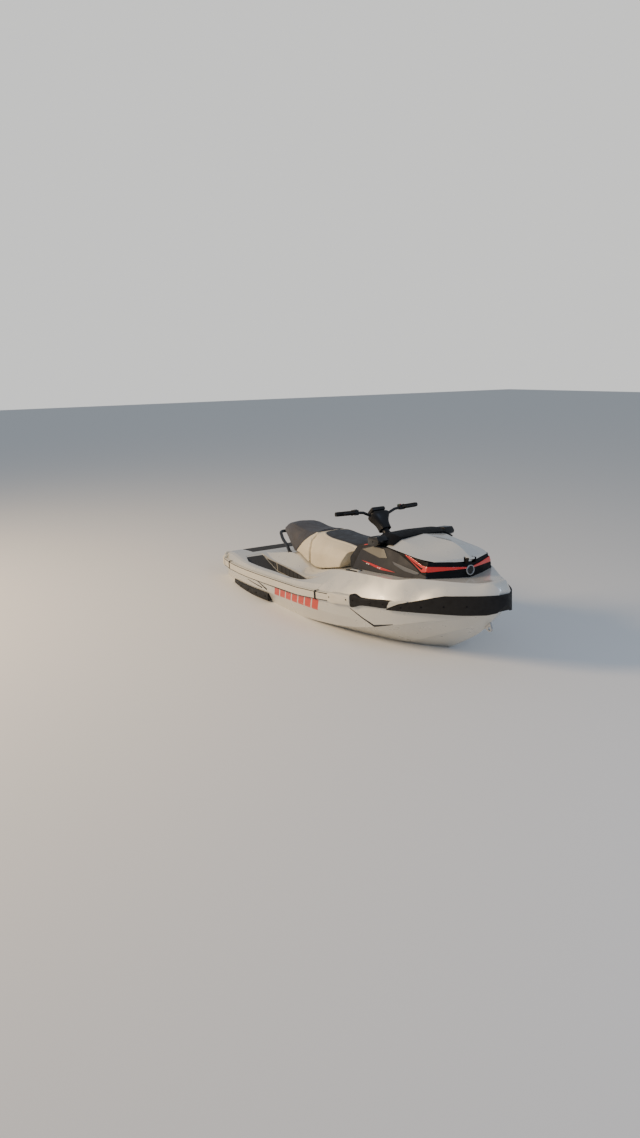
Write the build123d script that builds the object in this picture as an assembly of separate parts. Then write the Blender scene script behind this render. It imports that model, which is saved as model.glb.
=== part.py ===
from build123d import *
from math import cos, radians, sin
import os

# Three-seat personal watercraft with a jet pump, afloat.
# Millimetres. +X points to the bow, +Y to port and +Z up. Heights in this file are above the keel;
# the export lowers everything by DRAFT, so that the origin lies on the waterline amidships.

# Driving dimensions
DRAFT = 190.0  # keel below the water at the origin
BOW_X = 1725.0  # foremost point, on the bow bumper
STERN_X = -1725.0  # aftmost point, on the stern caps
TRANSOM_X = -1690.0  # aft face of the hull and deck mouldings
TIGHT = 0.3  # gap between pieces that seat on curved faces
RUN_GAP = 6.0  # clear space beside a piece that moves
PIN_FIT = 0.05  # radial clearance of a pin or shaft in its bore
SKIN = 9.0  # wall of a moulded cover

# Hull below the joint. Columns: x, keel height, half breadth and height of the chine, then of the knuckle
HULL_LINES = [
    (TRANSOM_X, 4.0, 455.0, 168.0, 479.0, 322.0),
    (-1200.0, 0.0, 505.0, 172.0, 563.0, 326.0),
    (-500.0, 0.0, 528.0, 190.0, 590.0, 330.0),
    (200.0, 0.0, 530.0, 222.0, 583.0, 334.0),
    (700.0, 14.0, 498.0, 276.0, 524.0, 340.0),
    (1050.0, 80.0, 428.0, 350.0, 440.0, 408.0),
    (1300.0, 200.0, 310.0, 408.0, 325.0, 448.0),
    (1500.0, 325.0, 182.0, 446.0, 200.0, 478.0),
    (1670.0, 508.0, 46.0, 514.0, 64.0, 524.0),
]
STRAKE_AT = 0.46  # share of the chine breadth where the lifting strake runs
STRAKE_STEP = 10.0  # height of the strake's step
STRAKE_WIDE = 26.0
CHINE_FLAT = 16.0  # width of the flat along the chine
GROOVES = [
    [(660.0, 410.0), (873.0, 307.0), (1042.0, 343.0)],
    [(-824.0, 404.0), (-612.0, 346.0)],
    [(-1013.0, 374.0), (-704.0, 346.0)],
]
GROOVE_WIDE = 6.0
GROOVE_DEEP = 3.0

# Plan of the joint between hull and deck. Columns: x, half breadth
GUNWALE = [
    (TRANSOM_X, 487.0),
    (-1200.0, 572.0),
    (-500.0, 599.0),
    (200.0, 592.0),
    (700.0, 538.0),
    (1100.0, 430.0),
    (1400.0, 279.0),
    (1600.0, 138.0),
    (1700.0, 46.0),
]
JOINT_Z = 412.0  # joint height, level aft of x = 0
FAR = 2500.0
JOINT_RISE = [(-FAR, 0.0), (0.0, 0.0), (1040.0, 63.0), (1700.0, 136.0), (FAR, 224.0)]
JOINT_LINE = [(x, JOINT_Z + rise) for x, rise in JOINT_RISE]
RAIL_HIGH = 66.0  # top of the rubbing strake over the joint, aft of x = 0
RAIL_TAPER = 0.02  # what that loses per unit of length ahead of x = 0
LIP = 2.0  # from the strake's top to the deck's lower corner

# Deck lines. Columns: x, flare of the lower corner over the joint, brow half breadth and height,
# shoulder half breadth and height, height on the centreline
FORE_DECK = [
    (200.0, -6.0, 566.0, 526.0, 505.0, 572.0, 606.0),
    (430.0, -8.0, 538.0, 544.0, 462.0, 648.0, 655.0),
    (700.0, -6.0, 508.0, 554.0, 441.0, 660.0, 672.0),
    (900.0, -3.0, 471.0, 562.0, 430.0, 664.0, 680.0),
    (1067.0, 4.0, 434.0, 560.0, 404.0, 666.0, 680.0),
    (1200.0, 10.0, 374.0, 592.0, 346.0, 684.0, 682.0),
    (1337.0, 14.0, 296.0, 624.0, 264.0, 682.0, 674.0),
    (1480.0, 15.0, 202.0, 654.0, 170.0, 676.0, 674.0),
    (1600.0, 15.0, 106.0, 672.0, 82.0, 680.0, 682.0),
    (1658.0, 13.0, 64.0, 678.0, 44.0, 682.0, 684.0),
    (1700.0, -2.0, 28.0, 630.0, 20.0, 634.0, 636.0),
]
AFT_DECK = [
    (TRANSOM_X, -6.0, 462.0, 520.0, 440.0, 531.0, 534.0),
    (-1400.0, -6.0, 512.0, 522.0, 484.0, 533.0, 536.0),
    (-1200.0, -7.0, 546.0, 512.0, 520.0, 520.0, 528.0),
    (-950.0, -6.0, 568.0, 503.0, 545.0, 509.0, 518.0),
    (-500.0, -7.0, 578.0, 502.0, 553.0, 508.0, 515.0),
    (0.0, -6.0, 576.0, 512.0, 548.0, 522.0, 534.0),
] + FORE_DECK[:2]
SEAM = [(250.0, 585.0), (430.0, 470.0), (430.0, 368.0), (342.0, 330.0)]  # plan of the seam between the decks
SEAM_GAP = 1.0

# Strakes and bumper along the joint
STRAKE_THICK = 28.0
STRAKE_BELOW = 6.0  # reach under the joint
STRAKE_ROUND = 8.0
AFT_STRAKE = (-1640.0, 440.0)
POD = (444.0, 700.0)
FORE_STRAKE = (704.0, 1075.0)
STRAKE_NOSE = [(1034.0, 400.0), (1034.0, 462.0), (1066.0, 530.0), (1066.0, 700.0)]  # its raked fore end
TIP_END = 1190.0
POD_OUT = 10.0  # how far the pods stand out past the strake
POD_SWELL = 9.0  # how far they stand over and under it
SOCKET_SWELL = 20.0
BUMPER_LOW = [
    (1036.0, 458.0),
    (1148.0, 461.0),
    (1361.0, 466.0),
    (1537.0, 467.0),
    (1659.0, 475.0),
    (1695.0, 487.0),
    (1716.0, 520.0),
    (1760.0, 600.0),
]
BUMPER_TOP = [
    (1044.0, 466.0),
    (1131.0, 510.0),
    (1200.0, 530.0),
    (1367.0, 577.0),
    (1428.0, 592.0),
    (1616.0, 603.0),
    (1760.0, 612.0),
]
CLAMP_X = (-1452.0, 268.0)
CLAMP_LONG = 20.0
CLAMP_THICK = 4.0
SPONSON_GAP = 0.5
SPONSON_Z = (246.0, 314.0)

# Footwells. Columns of the plan: x, inner half breadth, rim from the gunwale in to the outer wall
WELL_PLAN = [
    (-1345.0, 262.0, 120.0),
    (-1110.0, 300.0, 64.0),
    (-720.0, 354.0, 62.0),
    (-330.0, 416.0, 62.0),
    (-60.0, 472.0, 62.0),
    (85.0, 498.0, 92.0),
]
WELL_FLOOR_Z = 424.0
WELL_RAMP_X = -886.0  # where the level floor turns up into the aft ramp
WELL_TOE_X = -60.0  # where it turns up to the fore end
WELL_TOP_Z = 530.0  # height of the aft ramp's head
WELL_TOE_Z = 524.0
MAT = 6.0
MAT_EDGE = 8.0  # bare border round a mat
MAT_X = (-1290.0, -70.0)
PLATFORM_X = (-1668.0, -1440.0)
PLATFORM_HALF = 310.0
PLATFORM_Z = 528.0

# Pedestal under the seats. Columns: x, half breadth at its foot, half breadth and height of its top
PEDESTAL = [
    (-1390.0, 236.0, 196.0, 532.0),
    (-1110.0, 294.0, 232.0, 562.0),
    (-900.0, 322.0, 244.0, 594.0),
    (-720.0, 348.0, 252.0, 612.0),
    (-630.0, 358.0, 255.0, 604.0),
    (-500.0, 376.0, 264.0, 562.0),
    (-330.0, 404.0, 280.0, 530.0),
    (-60.0, 396.0, 290.0, 560.0),
    (120.0, 350.0, 298.0, 588.0),
    (240.0, 322.0, 300.0, 602.0),
    (338.0, 316.0, 300.0, 606.0),
]
PED_SEAT_Z = 450.0  # its underside, in the deck
PED_EDGE_Z = 502.0  # height of its foot

# Console, bin and hood
RECESS_Z = 640.0
BLOCK_TOP = 890.0
# Plans of the console block at RECESS_Z and at BLOCK_TOP. Columns: x, half breadth
BLOCK_LOW = [(424.0, 358.0), (780.0, 360.0), (1262.0, 312.0), (1330.0, 150.0), (1372.0, 0.0)]
BLOCK_HIGH = [(424.0, 291.0), (780.0, 300.0), (1248.0, 240.0), (1318.0, 110.0), (1378.0, 0.0)]
CORE_HALF = 266.0
CORE_AFT_X = 262.0
CORE_FOOT_Z = 600.0
CORE_FORE_X = 836.0
CORE_TOP = [(385.0, 818.0), (445.0, 832.0), (640.0, 868.0), (760.0, 852.0)]
SLOPE_FOOT_Z = 706.0  # foot of the slope that carries the glovebox lid
HOOD_LINE = [(560, 880), (831.0, 850.0), (985.0, 831.0), (1264.0, 794.0), (1340.0, 780.0), (1440, 780)]
PANEL_EDGE = [(951.0, 826.0), (1263.0, 700.0)]  # the slanting joint between side panel and nose band
BIN_X = (842.0, 1228.0)
BIN_HALF = 258.0
BIN_FLOOR_Z = 530.0
BIN_WALL = 8.0
HOOD_PIVOT = (1386.0, 806.0)
LID_PIVOT = (118.0, 8.0)  # along the aft slope, and up from it
LID_HALF = 113.0
GLOVE_HALF = 105.0

# Seats
SEAT_FORE_X = 240.0
SEAT_PARTING_X = -450.0
SEAT_PARTING = 4.0
SEAT_RAKE = [(62.0, 560.0), (148.0, 716.0), (260.0, 744.0), (260.0, 560.0)]  # cut under the seat's fore end
# Line under the seat's tail, from the side
UNDERCUT = [(-1600.0, 772.0), (-1245.0, 752.0), (-1000.0, 700.0), (-800.0, 628.0), (-770.0, 600.0)]
HANDLE_R = 15.0

# Bow eye
EYE_X = 1545.0
EYE_OUT = 27.0  # from the stem to the eye's centre
EYE_R = 13.0
EYE_THICK = 12.0

# Engine
ENGINE_X = (-505.0, 65.0)
ENGINE_HALF = 185.0
ENGINE_Z = (100.0, 505.0)
ENGINE_ROOM = 15.0

# Jet pump
PUMP_Z = 170.0
PUMP_R = 80.0
PUMP_WALL = 10.0
TUNNEL_HALF = 172.0
TUNNEL_TOP = 345.0
TUNNEL_FORE_X = -1230.0
SHAFT_R = 12.0
INTAKE_ROOF = [(-600.0, -60.0), (-600.0, 30.0), (-980.0, 236.0), (-1120.0, 246.0)]
INTAKE_LIP = [(-1120.0, 92.0), (-1030.0, 46.0), (-1030.0, -60.0)]
BLADE_GAP = 5.0
NOZZLE_X = -1530.0  # steering nozzle's upright pivot, and the bucket's cross pivot
NOZZLE_R = 50.0
NOZZLE_IN = 78.0  # inner radius at the steering nozzle's mouth
LUG_Z = 95.0  # height of the pivot lugs off the shaft line
BUCKET_R = 152.0
BUCKET_T = 7.0
EAR_Y = 98.0
EAR_T = 8.0

# Steering
HEAD = Vector(400.0, 0.0, 868.0)
HEAD_RAKE = 38.0
BAR_UP = 175.0
BAR_R = 11.0
BAR_HALF = 388.0
GRIP_IN = 252.0


# Shared shapes


def body_along_x(stations):
    """A solid whose corner lines run smoothly through every station: (x, [(y, z), ...])."""
    xs = [x for x, _ in stations]
    share = [(x - xs[0]) / (xs[-1] - xs[0]) for x in xs]
    count = len(stations[0][1])
    lines = []
    for i in range(count):
        points = [Vector(x, *outline[i]) for x, outline in stations]
        if len(points) == 2:
            lines.append(Edge.make_line(points[0], points[1]))
        else:
            lines.append(Edge.make_spline(points, parameters=share))
    faces = [Face.make_surface_from_curves(lines[i], lines[(i + 1) % count]) for i in range(count)]
    for x, outline in (stations[0], stations[-1]):
        faces.append(Face(Wire.make_polygon([Vector(x, *p) for p in outline], close=True)))
    solid = Solid(Shell(faces))
    return solid if solid.volume > 0 else Solid(solid.fix().wrapped)


def across(half):
    """Both sides of an outline given from keel to crown on the port side."""
    return list(half) + [(-y, z) for y, z in reversed(half) if y > 0.001]


def prism_y(points, half):
    """A side outline in X and Z, made solid from -half to half across the craft."""
    face = Face(Wire.make_polygon([Vector(x, 0, z) for x, z in points], close=True))
    return extrude(face, amount=half, dir=(0, 1, 0), both=True)


def prism_z(points, low, high):
    face = Face(Wire.make_polygon([Vector(x, y, low) for x, y in points], close=True))
    return extrude(face, amount=high - low, dir=(0, 0, 1))


def plan(port):
    """Close a port-side plan outline, given from aft to bow, over the centreline."""
    return list(port) + [(x, -y) for x, y in reversed(port) if y > 0.001]


def frustum(low_points, low, high_points, high):
    wires = []
    for points, z in ((low_points, low), (high_points, high)):
        wires.append(Wire.make_polygon([Vector(x, y, z) for x, y in points], close=True))
    return Solid.make_loft(wires, ruled=True)


def box(x, y, z):
    """A box from three (low, high) pairs."""
    size = [high - low for low, high in (x, y, z)]
    return Pos(x[0] + size[0] / 2, y[0] + size[1] / 2, z[0] + size[2] / 2) * Box(*size)


def rod(start, end, radius):
    start, end = Vector(*start), Vector(*end)
    return Solid.make_cylinder(radius, (end - start).length, Plane(origin=start, z_dir=end - start))


def cone(start, end, r_start, r_end):
    start, end = Vector(*start), Vector(*end)
    at = Plane(origin=start, z_dir=end - start)
    return Solid.make_cone(r_start, r_end, (end - start).length, at)


def both_sides(shape):
    return Compound(children=[shape, mirror(shape, about=Plane.XZ)])


def read_at(rows, column, x):
    """The value of a table's column at x, on the same smooth line that the bodies' corners use."""
    xs = [row[0] for row in rows]
    whole = xs[-1] - xs[0]
    share = [(v - xs[0]) / whole for v in xs]
    line = Edge.make_spline([Vector(row[0], row[column]) for row in rows], parameters=share)
    at = (x - xs[0]) / whole
    for _ in range(8):
        at = min(1.0, max(0.0, at + (x - line.position_at(at).X) / whole))
    return line.position_at(at).Y


def along(line, x):
    """Height at x on a line of straight runs."""
    for (x0, z0), (x1, z1) in zip(line, line[1:]):
        if x <= x1:
            return z0 + (z1 - z0) * (x - x0) / (x1 - x0)
    return line[-1][1]


def up_profile(points, z):
    """Half breadth at z on a side given as (half breadth, height) points from low to high."""
    for (y0, z0), (y1, z1) in zip(points, points[1:]):
        if z <= z1 or (y1, z1) == points[-1]:
            return y0 + (y1 - y0) * (z - z0) / (z1 - z0)


def joint_z(x):
    return along(JOINT_LINE, x)


def below_joint():
    return prism_y([(FAR, -600), (-FAR, -600)] + JOINT_LINE, 1200.0)


def rail_top(x):
    return joint_z(x) + RAIL_HIGH - max(0.0, x) * RAIL_TAPER


def deck_corner_z(x):
    """Height of the deck's lower corner: on the strakes, and then along the bumper's top."""
    return rail_top(x) + LIP if x < 1100 else along(BUMPER_TOP, x)


# Hull and decks


def hull_rows():
    """Columns: x, keel, chine half breadth and height, knuckle, half breadth and height above the joint."""
    rows = []
    for x, keel, chine_y, chine_z, bend_y, bend_z in HULL_LINES:
        joint = joint_z(x)
        step = min(STRAKE_STEP, 0.08 * (chine_z - keel))
        lean = (read_at(GUNWALE, 1, x) - bend_y) / (joint - bend_z)
        top = joint + 60
        rows.append((x, keel, chine_y, chine_z - step, bend_y, bend_z, bend_y + lean * (top - bend_z), top))
    return rows


def hull_body(grow=0.0):
    stations = []
    for x, keel, chine_y, chine_z, bend_y, bend_z, top_y, top_z in hull_rows():
        rise = (chine_z - keel) * 0.97
        s = STRAKE_AT * chine_y
        wide = min(STRAKE_WIDE, 0.12 * chine_y)
        step = min(STRAKE_STEP, 0.08 * (chine_z - keel))
        flat = min(CHINE_FLAT, 0.08 * chine_y)
        half = [
            (0, keel - grow),
            (s, keel + rise * STRAKE_AT - step - grow),
            (s + wide, keel + rise * STRAKE_AT - grow),
            (chine_y - flat + grow, keel + rise - grow),
            (chine_y + grow, chine_z),
            (bend_y + grow, bend_z),
            (top_y + grow, top_z),
            (0, top_z),
        ]
        stations.append((x + (grow if x > 0 else 0.0), across(half)))
    return body_along_x(stations)


def hull_side(x, z):
    """Half breadth of the hull's side at x and z, above the chine."""
    row = [read_at(hull_rows(), c, x) for c in range(2, 8)]
    return up_profile([row[0:2], row[2:4], row[4:6]], z)


def deck_rows(rows):
    """Columns: x, half breadth and height of joint, lower corner, brow and shoulder, then the centreline."""
    whole = []
    for x, flare, *rest in rows:
        side = read_at(GUNWALE, 1, x)
        whole.append((x, side, joint_z(x), side + flare, deck_corner_z(x)) + tuple(rest))
    return whole


def deck_body(rows, grow=0.0):
    stations = []
    for x, side_y, joint, low_y, low_z, brow_y, brow_z, shoulder_y, shoulder_z, top in deck_rows(rows):
        half = [
            (0, 370),
            (side_y + grow, 370),
            (side_y + grow, joint),
            (low_y + grow, low_z),
            (brow_y + grow, brow_z + grow),
            (shoulder_y + grow, shoulder_z + grow),
            (0, top + grow),
        ]
        stations.append((x, across(half)))
    return body_along_x(stations)


def deck_side(x, z):
    """Half breadth of the deck's side at x and z."""
    rows = AFT_DECK if x < SEAM[0][0] else FORE_DECK
    row = [read_at(deck_rows(rows), c, x) for c in range(1, 9)]
    if z <= row[1]:
        return row[0]
    return up_profile([row[0:2], row[2:4], row[4:6], row[6:8]], z)


def pump_tunnel():
    return box((-2000, TUNNEL_FORE_X), (-TUNNEL_HALF, TUNNEL_HALF), (-50, TUNNEL_TOP))


def engine_room():
    x, z = ENGINE_X, ENGINE_Z
    side = ENGINE_HALF + ENGINE_ROOM
    return box((x[0] - ENGINE_ROOM, x[1] + ENGINE_ROOM), (-side, side), (z[0], z[1] + ENGINE_ROOM))


def bin_pocket():
    half = BIN_HALF + 2
    return box((BIN_X[0] - 2, BIN_X[1] + 2), (-half, half), (BIN_FLOOR_Z, 1000))


def grooves():
    """The pressed lines in the hull's sides: thin strips across, kept to the skin."""
    strips = None
    for line in GROOVES:
        for (x0, z0), (x1, z1) in zip(line, line[1:]):
            way = Vector(x1 - x0, 0, z1 - z0).normalized() * (GROOVE_WIDE / 2)
            a, b = Vector(x0, 0, z0) - way, Vector(x1, 0, z1) + way
            side = Vector(-way.Z, 0, way.X)
            strip = prism_y([(p.X, p.Z) for p in (a - side, b - side, b + side, a + side)], 700.0)
            strips = strip if strips is None else strips + strip
    return strips - hull_body(-GROOVE_DEEP)


def make_hull():
    hull = hull_body() & below_joint()
    hull = hull - pump_tunnel()
    hull = hull - rod((-1300, 0, PUMP_Z), (-1040, 0, PUMP_Z), PUMP_R)
    hull = hull - prism_y(INTAKE_ROOF + INTAKE_LIP, 86.0)
    hull = hull - rod((-1100, 0, PUMP_Z), (ENGINE_X[0] - 5, 0, PUMP_Z), SHAFT_R + RUN_GAP)
    return hull - engine_room() - grooves()


def well_plan(rows, inset=0.0):
    """The port footwell's outline seen from above."""
    inner = [(x, half + inset) for x, half, _ in rows]
    outer = [(x, read_at(GUNWALE, 1, x) - rim - inset) for x, _, rim in rows]
    return prism_z(inner + outer[::-1], 300, 900)


def well_floor(rise=0.0):
    return [
        (WELL_PLAN[0][0], WELL_TOP_Z + rise),
        (WELL_RAMP_X, WELL_FLOOR_Z + rise),
        (WELL_TOE_X, WELL_FLOOR_Z + rise),
        (WELL_PLAN[-1][0], WELL_TOE_Z + rise),
    ]


def wells():
    space = prism_y(well_floor() + [(WELL_PLAN[-1][0], 800), (WELL_PLAN[0][0], 800)], 700.0)
    return both_sides(space & well_plan(WELL_PLAN))


def pedestal():
    stations = []
    for x, foot, half, top in PEDESTAL:
        outline = [(0, PED_SEAT_Z), (foot, PED_SEAT_Z), (foot, PED_EDGE_Z), (half, top), (0, top)]
        stations.append((x, across(outline)))
    return body_along_x(stations)


def fore_of_seam(gap=0.0):
    port = [(SEAM[0][0] + gap, 900)] + [(x + gap, y) for x, y in SEAM]
    aft = port + [(x, -y) for x, y in reversed(port)]
    return prism_z(aft + [(FAR, -900), (FAR, 900)], 300, 1300)


def make_aft_deck():
    deck = deck_body(AFT_DECK) - below_joint() - fore_of_seam()
    deck = deck - wells() - pedestal() - console_recess() - engine_room()
    return deck - box(PLATFORM_X, (-PLATFORM_HALF, PLATFORM_HALF), (PLATFORM_Z, 700))


def make_pedestal():
    return pedestal() - engine_room()


def console_recess():
    """The seat of the console in the deck: clear of the block, and open down to the pedestal aft of it."""
    aft = box((CORE_AFT_X, 440), (-362, 362), (RECESS_Z, 900))
    fore_edge = PEDESTAL[-1][0] + 4
    core_half = CORE_HALF + 4
    core_seat = box((WELL_PLAN[-1][0], fore_edge), (-core_half, core_half), (CORE_FOOT_Z - 50, 900))
    return aft + console_block(2.0) + core_seat


def make_fore_deck():
    deck = (deck_body(FORE_DECK) - below_joint()) & fore_of_seam(SEAM_GAP)
    return deck - console_recess() - bin_pocket()


# Strakes, bumper and sponsons


def strake_outline(x, out=STRAKE_THICK, swell=0.0, grow=0.0):
    joint = joint_z(x)
    low, high = joint - STRAKE_BELOW - swell - grow, rail_top(x) + swell + grow
    corner = min(high - 3, deck_corner_z(x))
    inner = [
        (hull_side(x, low) + TIGHT, low),
        (read_at(GUNWALE, 1, x) + 2 * TIGHT, joint),
        (deck_side(x, corner) + 2 * TIGHT, corner),
        (deck_side(x, high) + 2 * TIGHT, high),
    ]
    edge = read_at(GUNWALE, 1, x) + out + grow
    top = [(edge - STRAKE_ROUND, high), (edge, high - STRAKE_ROUND)]
    return inner + top + [(edge, low + STRAKE_ROUND), (edge - STRAKE_ROUND, low)]


def strake(rows):
    """One strake from rows of x, thickness and swell."""
    return body_along_x([(x, strake_outline(x, out, swell)) for x, out, swell in rows])


def even_rows(start, end, out=STRAKE_THICK, swell=0.0):
    count = max(3, int((end - start) / 170.0) + 1)
    return [(start + (end - start) * i / (count - 1), out, swell) for i in range(count)]


def knot_rows(start, end):
    """Rows at both ends and at each knot of the deck and hull between, so the strake bends where they do."""
    knots = sorted({row[0] for row in AFT_DECK + HULL_LINES})
    inside = [x for x in knots if start + 5 < x < end - 5]
    return [(x, STRAKE_THICK, 0.0) for x in [start] + inside + [end]]


def make_aft_strakes():
    return both_sides(strake(knot_rows(*AFT_STRAKE)))


def make_pods():
    start, end = POD
    full = STRAKE_THICK + POD_OUT
    rows = [(start, full - 6, 2), (start + 40, full, POD_SWELL), ((start + end) / 2, full, POD_SWELL)]
    return both_sides(strake(rows + [(end - 40, full, POD_SWELL), (end, full - 4, POD_SWELL)]))


def make_fore_strakes():
    start, end = FORE_STRAKE
    rows = [(start, STRAKE_THICK + 2, SOCKET_SWELL), (start + 34, STRAKE_THICK, SOCKET_SWELL - 4)]
    plain = [(start + 72, 4), (start + 100, 0), (start + 220, 0), (end, 0)]
    rows = rows + [(x, STRAKE_THICK, swell) for x, swell in plain]
    nose = prism_y(STRAKE_NOSE + [(FAR, 700), (FAR, 400)], 700)
    return both_sides(strake(rows) - nose - deck_body(FORE_DECK, TIGHT))


def make_tips():
    """The pale arrow between strake and bumper, raked like the strake and cut to the bumper's top line."""
    tip = strake(even_rows(1030.0, TIP_END))
    aft = [(x + 3, z) for x, z in STRAKE_NOSE]
    keep = [(aft[1][0] + 3, BUMPER_TOP[0][1] + 2)] + [(x, z + 1) for x, z in BUMPER_TOP[1:3]]
    side = prism_y([aft[1], aft[2], (aft[2][0], 600), (TIP_END, 600)] + keep[:0:-1] + [keep[0]], 700)
    return both_sides((tip & side) - deck_body(FORE_DECK, TIGHT))


def make_stern_caps():
    low, high = JOINT_Z - STRAKE_BELOW - 4, 530.0
    stations = []
    for x, out in ((-1644, 530), (TRANSOM_X - TIGHT, 521)):
        inner = [(hull_side(x, low) + TIGHT, low), (read_at(GUNWALE, 1, x) + 1, JOINT_Z)]
        inner = inner + [(deck_side(x, z) + 1, z) for z in (rail_top(x) + LIP, 505.0)]
        stations.append((x, inner + [(out - 22, 505), (out, 486), (out, low + 8), (out - 8, low)]))
    side = body_along_x(stations)
    stations = []
    for x, out, trim in ((TRANSOM_X - TIGHT, 521, 0), (-1714, 509, 5), (STERN_X, 495, 12)):
        top = [(438, low + trim), (438, high - trim), (out - 40, high - trim), (out - 22, 505), (out, 486)]
        stations.append((x, top + [(out, low + 8 + trim), (out - 8, low + trim)]))
    return both_sides(side + body_along_x(stations))


def make_clamps():
    """Brackets that hold the aft strakes: thin bands round the strake, up to the hull and deck."""
    clamps = None
    for x in CLAMP_X:
        ends = (x, x + CLAMP_LONG)
        band = body_along_x([(e, strake_outline(e, grow=CLAMP_THICK)) for e in ends])
        wide = (x - 5, x + CLAMP_LONG + 5)
        space = [(e, [(400, joint_z(e) - STRAKE_BELOW - TIGHT)] + strake_space(e)) for e in wide]
        band = band - body_along_x(space)
        clamps = band if clamps is None else clamps + band
    return both_sides(clamps)


def strake_space(x):
    edge = read_at(GUNWALE, 1, x) + STRAKE_THICK + TIGHT
    low, high = joint_z(x) - STRAKE_BELOW - TIGHT, rail_top(x) + TIGHT
    return [
        (400, high),
        (edge - STRAKE_ROUND, high),
        (edge, high - STRAKE_ROUND),
        (edge, low + STRAKE_ROUND),
        (edge - STRAKE_ROUND, low),
    ]


def make_bumper():
    port = [(x, read_at(GUNWALE, 1, x) + STRAKE_THICK) for x in (1020, 1130, 1250, 1400, 1520, 1620)]
    port = port + [(1692, 72), (BOW_X, 0)]
    points = [Vector(x, y) for x, y in port] + [Vector(x, -y) for x, y in reversed(port[:-1])]
    curve = Edge.make_spline(points)
    line = Edge.make_line(points[-1], points[0])
    block = extrude(Face(Wire([curve, line])), amount=300, dir=(0, 0, 1))
    block = Pos(0, 0, 400) * block
    block = block & prism_y(BUMPER_LOW + BUMPER_TOP[::-1], 700)
    return block - deck_body(FORE_DECK, TIGHT)


def make_sponsons():
    low, high = SPONSON_Z
    stations = []
    for x, out in ((-1400, 6), (-1300, 13), (-1000, 15), (-700, 15), (-592, 12)):
        inner = [(hull_side(x, low) + SPONSON_GAP, low), (hull_side(x, high) + SPONSON_GAP, high)]
        edge = inner[1][0] + out
        outer = [(edge - 4, high), (edge, high - 8), (edge + 3, low + 5), (edge - 3, low)]
        stations.append((x, inner + outer))
    return both_sides(body_along_x(stations))


# Mats


def make_footwell_mats():
    sheet = prism_y(well_floor() + well_floor(MAT)[::-1], 700.0)
    sheet = sheet & box(MAT_X, (-700, 700), (300, 900))
    return both_sides(sheet & well_plan(WELL_PLAN, MAT_EDGE))


def make_platform_mat():
    return box(PLATFORM_X, (-PLATFORM_HALF, PLATFORM_HALF), (PLATFORM_Z, PLATFORM_Z + MAT + 2))


# Console


def console_block(grow=0.0):
    wires = []
    for line in (BLOCK_LOW, BLOCK_HIGH):
        aft = [(x, y + grow) for x, y in line[:2]]
        wires.append(plan(aft + [(x + grow, y + (grow if y else 0)) for x, y in line[2:]]))
    return frustum(wires[0], RECESS_Z, wires[1], BLOCK_TOP)


def under_hood(drop):
    return [(x, z - drop) for x, z in HOOD_LINE]


def on_slope(along, up):
    """A point on the core's aft slope: along it from its foot, and up from it."""
    foot, head = Vector(CORE_AFT_X, 0, SLOPE_FOOT_Z), Vector(CORE_TOP[0][0], 0, CORE_TOP[0][1])
    way = (head - foot).normalized()
    point = foot + way * along + Vector(-way.Z, 0, way.X) * up
    return (point.X, point.Z)


def core_profile():
    """The core's whole side outline, down to the height given by each of its feet."""
    fore_edge = PEDESTAL[-1][0] + 1
    step = [(CORE_FORE_X, RECESS_Z), (fore_edge, RECESS_Z)]
    foot = [(fore_edge, CORE_FOOT_Z), (CORE_AFT_X, CORE_FOOT_Z)]
    return [on_slope(0, 0)] + CORE_TOP + [(CORE_FORE_X, CORE_TOP[-1][1] - 10)] + step + foot


def make_core():
    core = prism_y(core_profile(), CORE_HALF) - pedestal()
    mouth = [on_slope(30, 0), on_slope(30, 60), on_slope(100, 60), on_slope(100, 0)]
    core = core - prism_y(mouth + [(372, 760), (372, 650), (286, 650)], GLOVE_HALF)
    px, pz = on_slope(*LID_PIVOT)
    ear = prism_y([on_slope(110, -4), on_slope(114, 14), on_slope(122, 14), on_slope(126, -4)], 4)
    for side in (-1, 1):
        core = core + Pos(0, side * 60, 0) * ear
    return core + rod((px, -62, pz), (px, 62, pz), 3)


def make_bin():
    outer = box(BIN_X, (-BIN_HALF, BIN_HALF), (BIN_FLOOR_Z, 1000))
    inner = box(
        (BIN_X[0] + BIN_WALL, BIN_X[1] - BIN_WALL),
        (-BIN_HALF + BIN_WALL, BIN_HALF - BIN_WALL),
        (BIN_FLOOR_Z + BIN_WALL, 1000),
    )
    top = under_hood(10) + [(1440, 1200), (560, 1200)]
    return outer - inner - prism_y(top, 600)


def make_side_panels():
    start = BLOCK_LOW[0][0]
    top = [(start, 652), (506, 812), (665, 852), (831, 848)] + [(x - 1, z) for x, z in PANEL_EDGE]
    panel = console_block() & prism_y(top + [(PANEL_EDGE[1][0] - 1, RECESS_Z), (start, RECESS_Z)], 600)
    inside = box((300, 1400), (-CORE_HALF - 1, CORE_HALF + 1), (500, 1000))
    return panel - inside


def make_nose_band():
    edge = [(x + 1, z) for x, z in PANEL_EDGE]
    region = edge + [(edge[1][0], RECESS_Z), (1700, RECESS_Z), (1700, 900), (edge[0][0], 900)]
    band = console_block() & prism_y(region, 600)
    band = band - prism_y(under_hood(1) + [(1800, 780), (1800, 1200), (560, 1200)], 600)
    band = band - box((500, BIN_X[1] + 4), (-CORE_HALF - 1, CORE_HALF + 1), (500, 1000))
    px, pz = HOOD_PIVOT
    web = [(px - 12, pz), (px - 30, 778), (px - 50, 760)]
    ear = prism_y(web + [(px + 8, 778), (px + 8, pz + 7), (px - 8, pz + 7)], 4)
    for side in (-1, 1):
        band = band + Pos(0, side * 34, 0) * ear
    return band - rod((px, -29, pz), (px, 29, pz), 8 + RUN_GAP) + rod((px, -36, pz), (px, 36, pz), 4)


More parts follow.
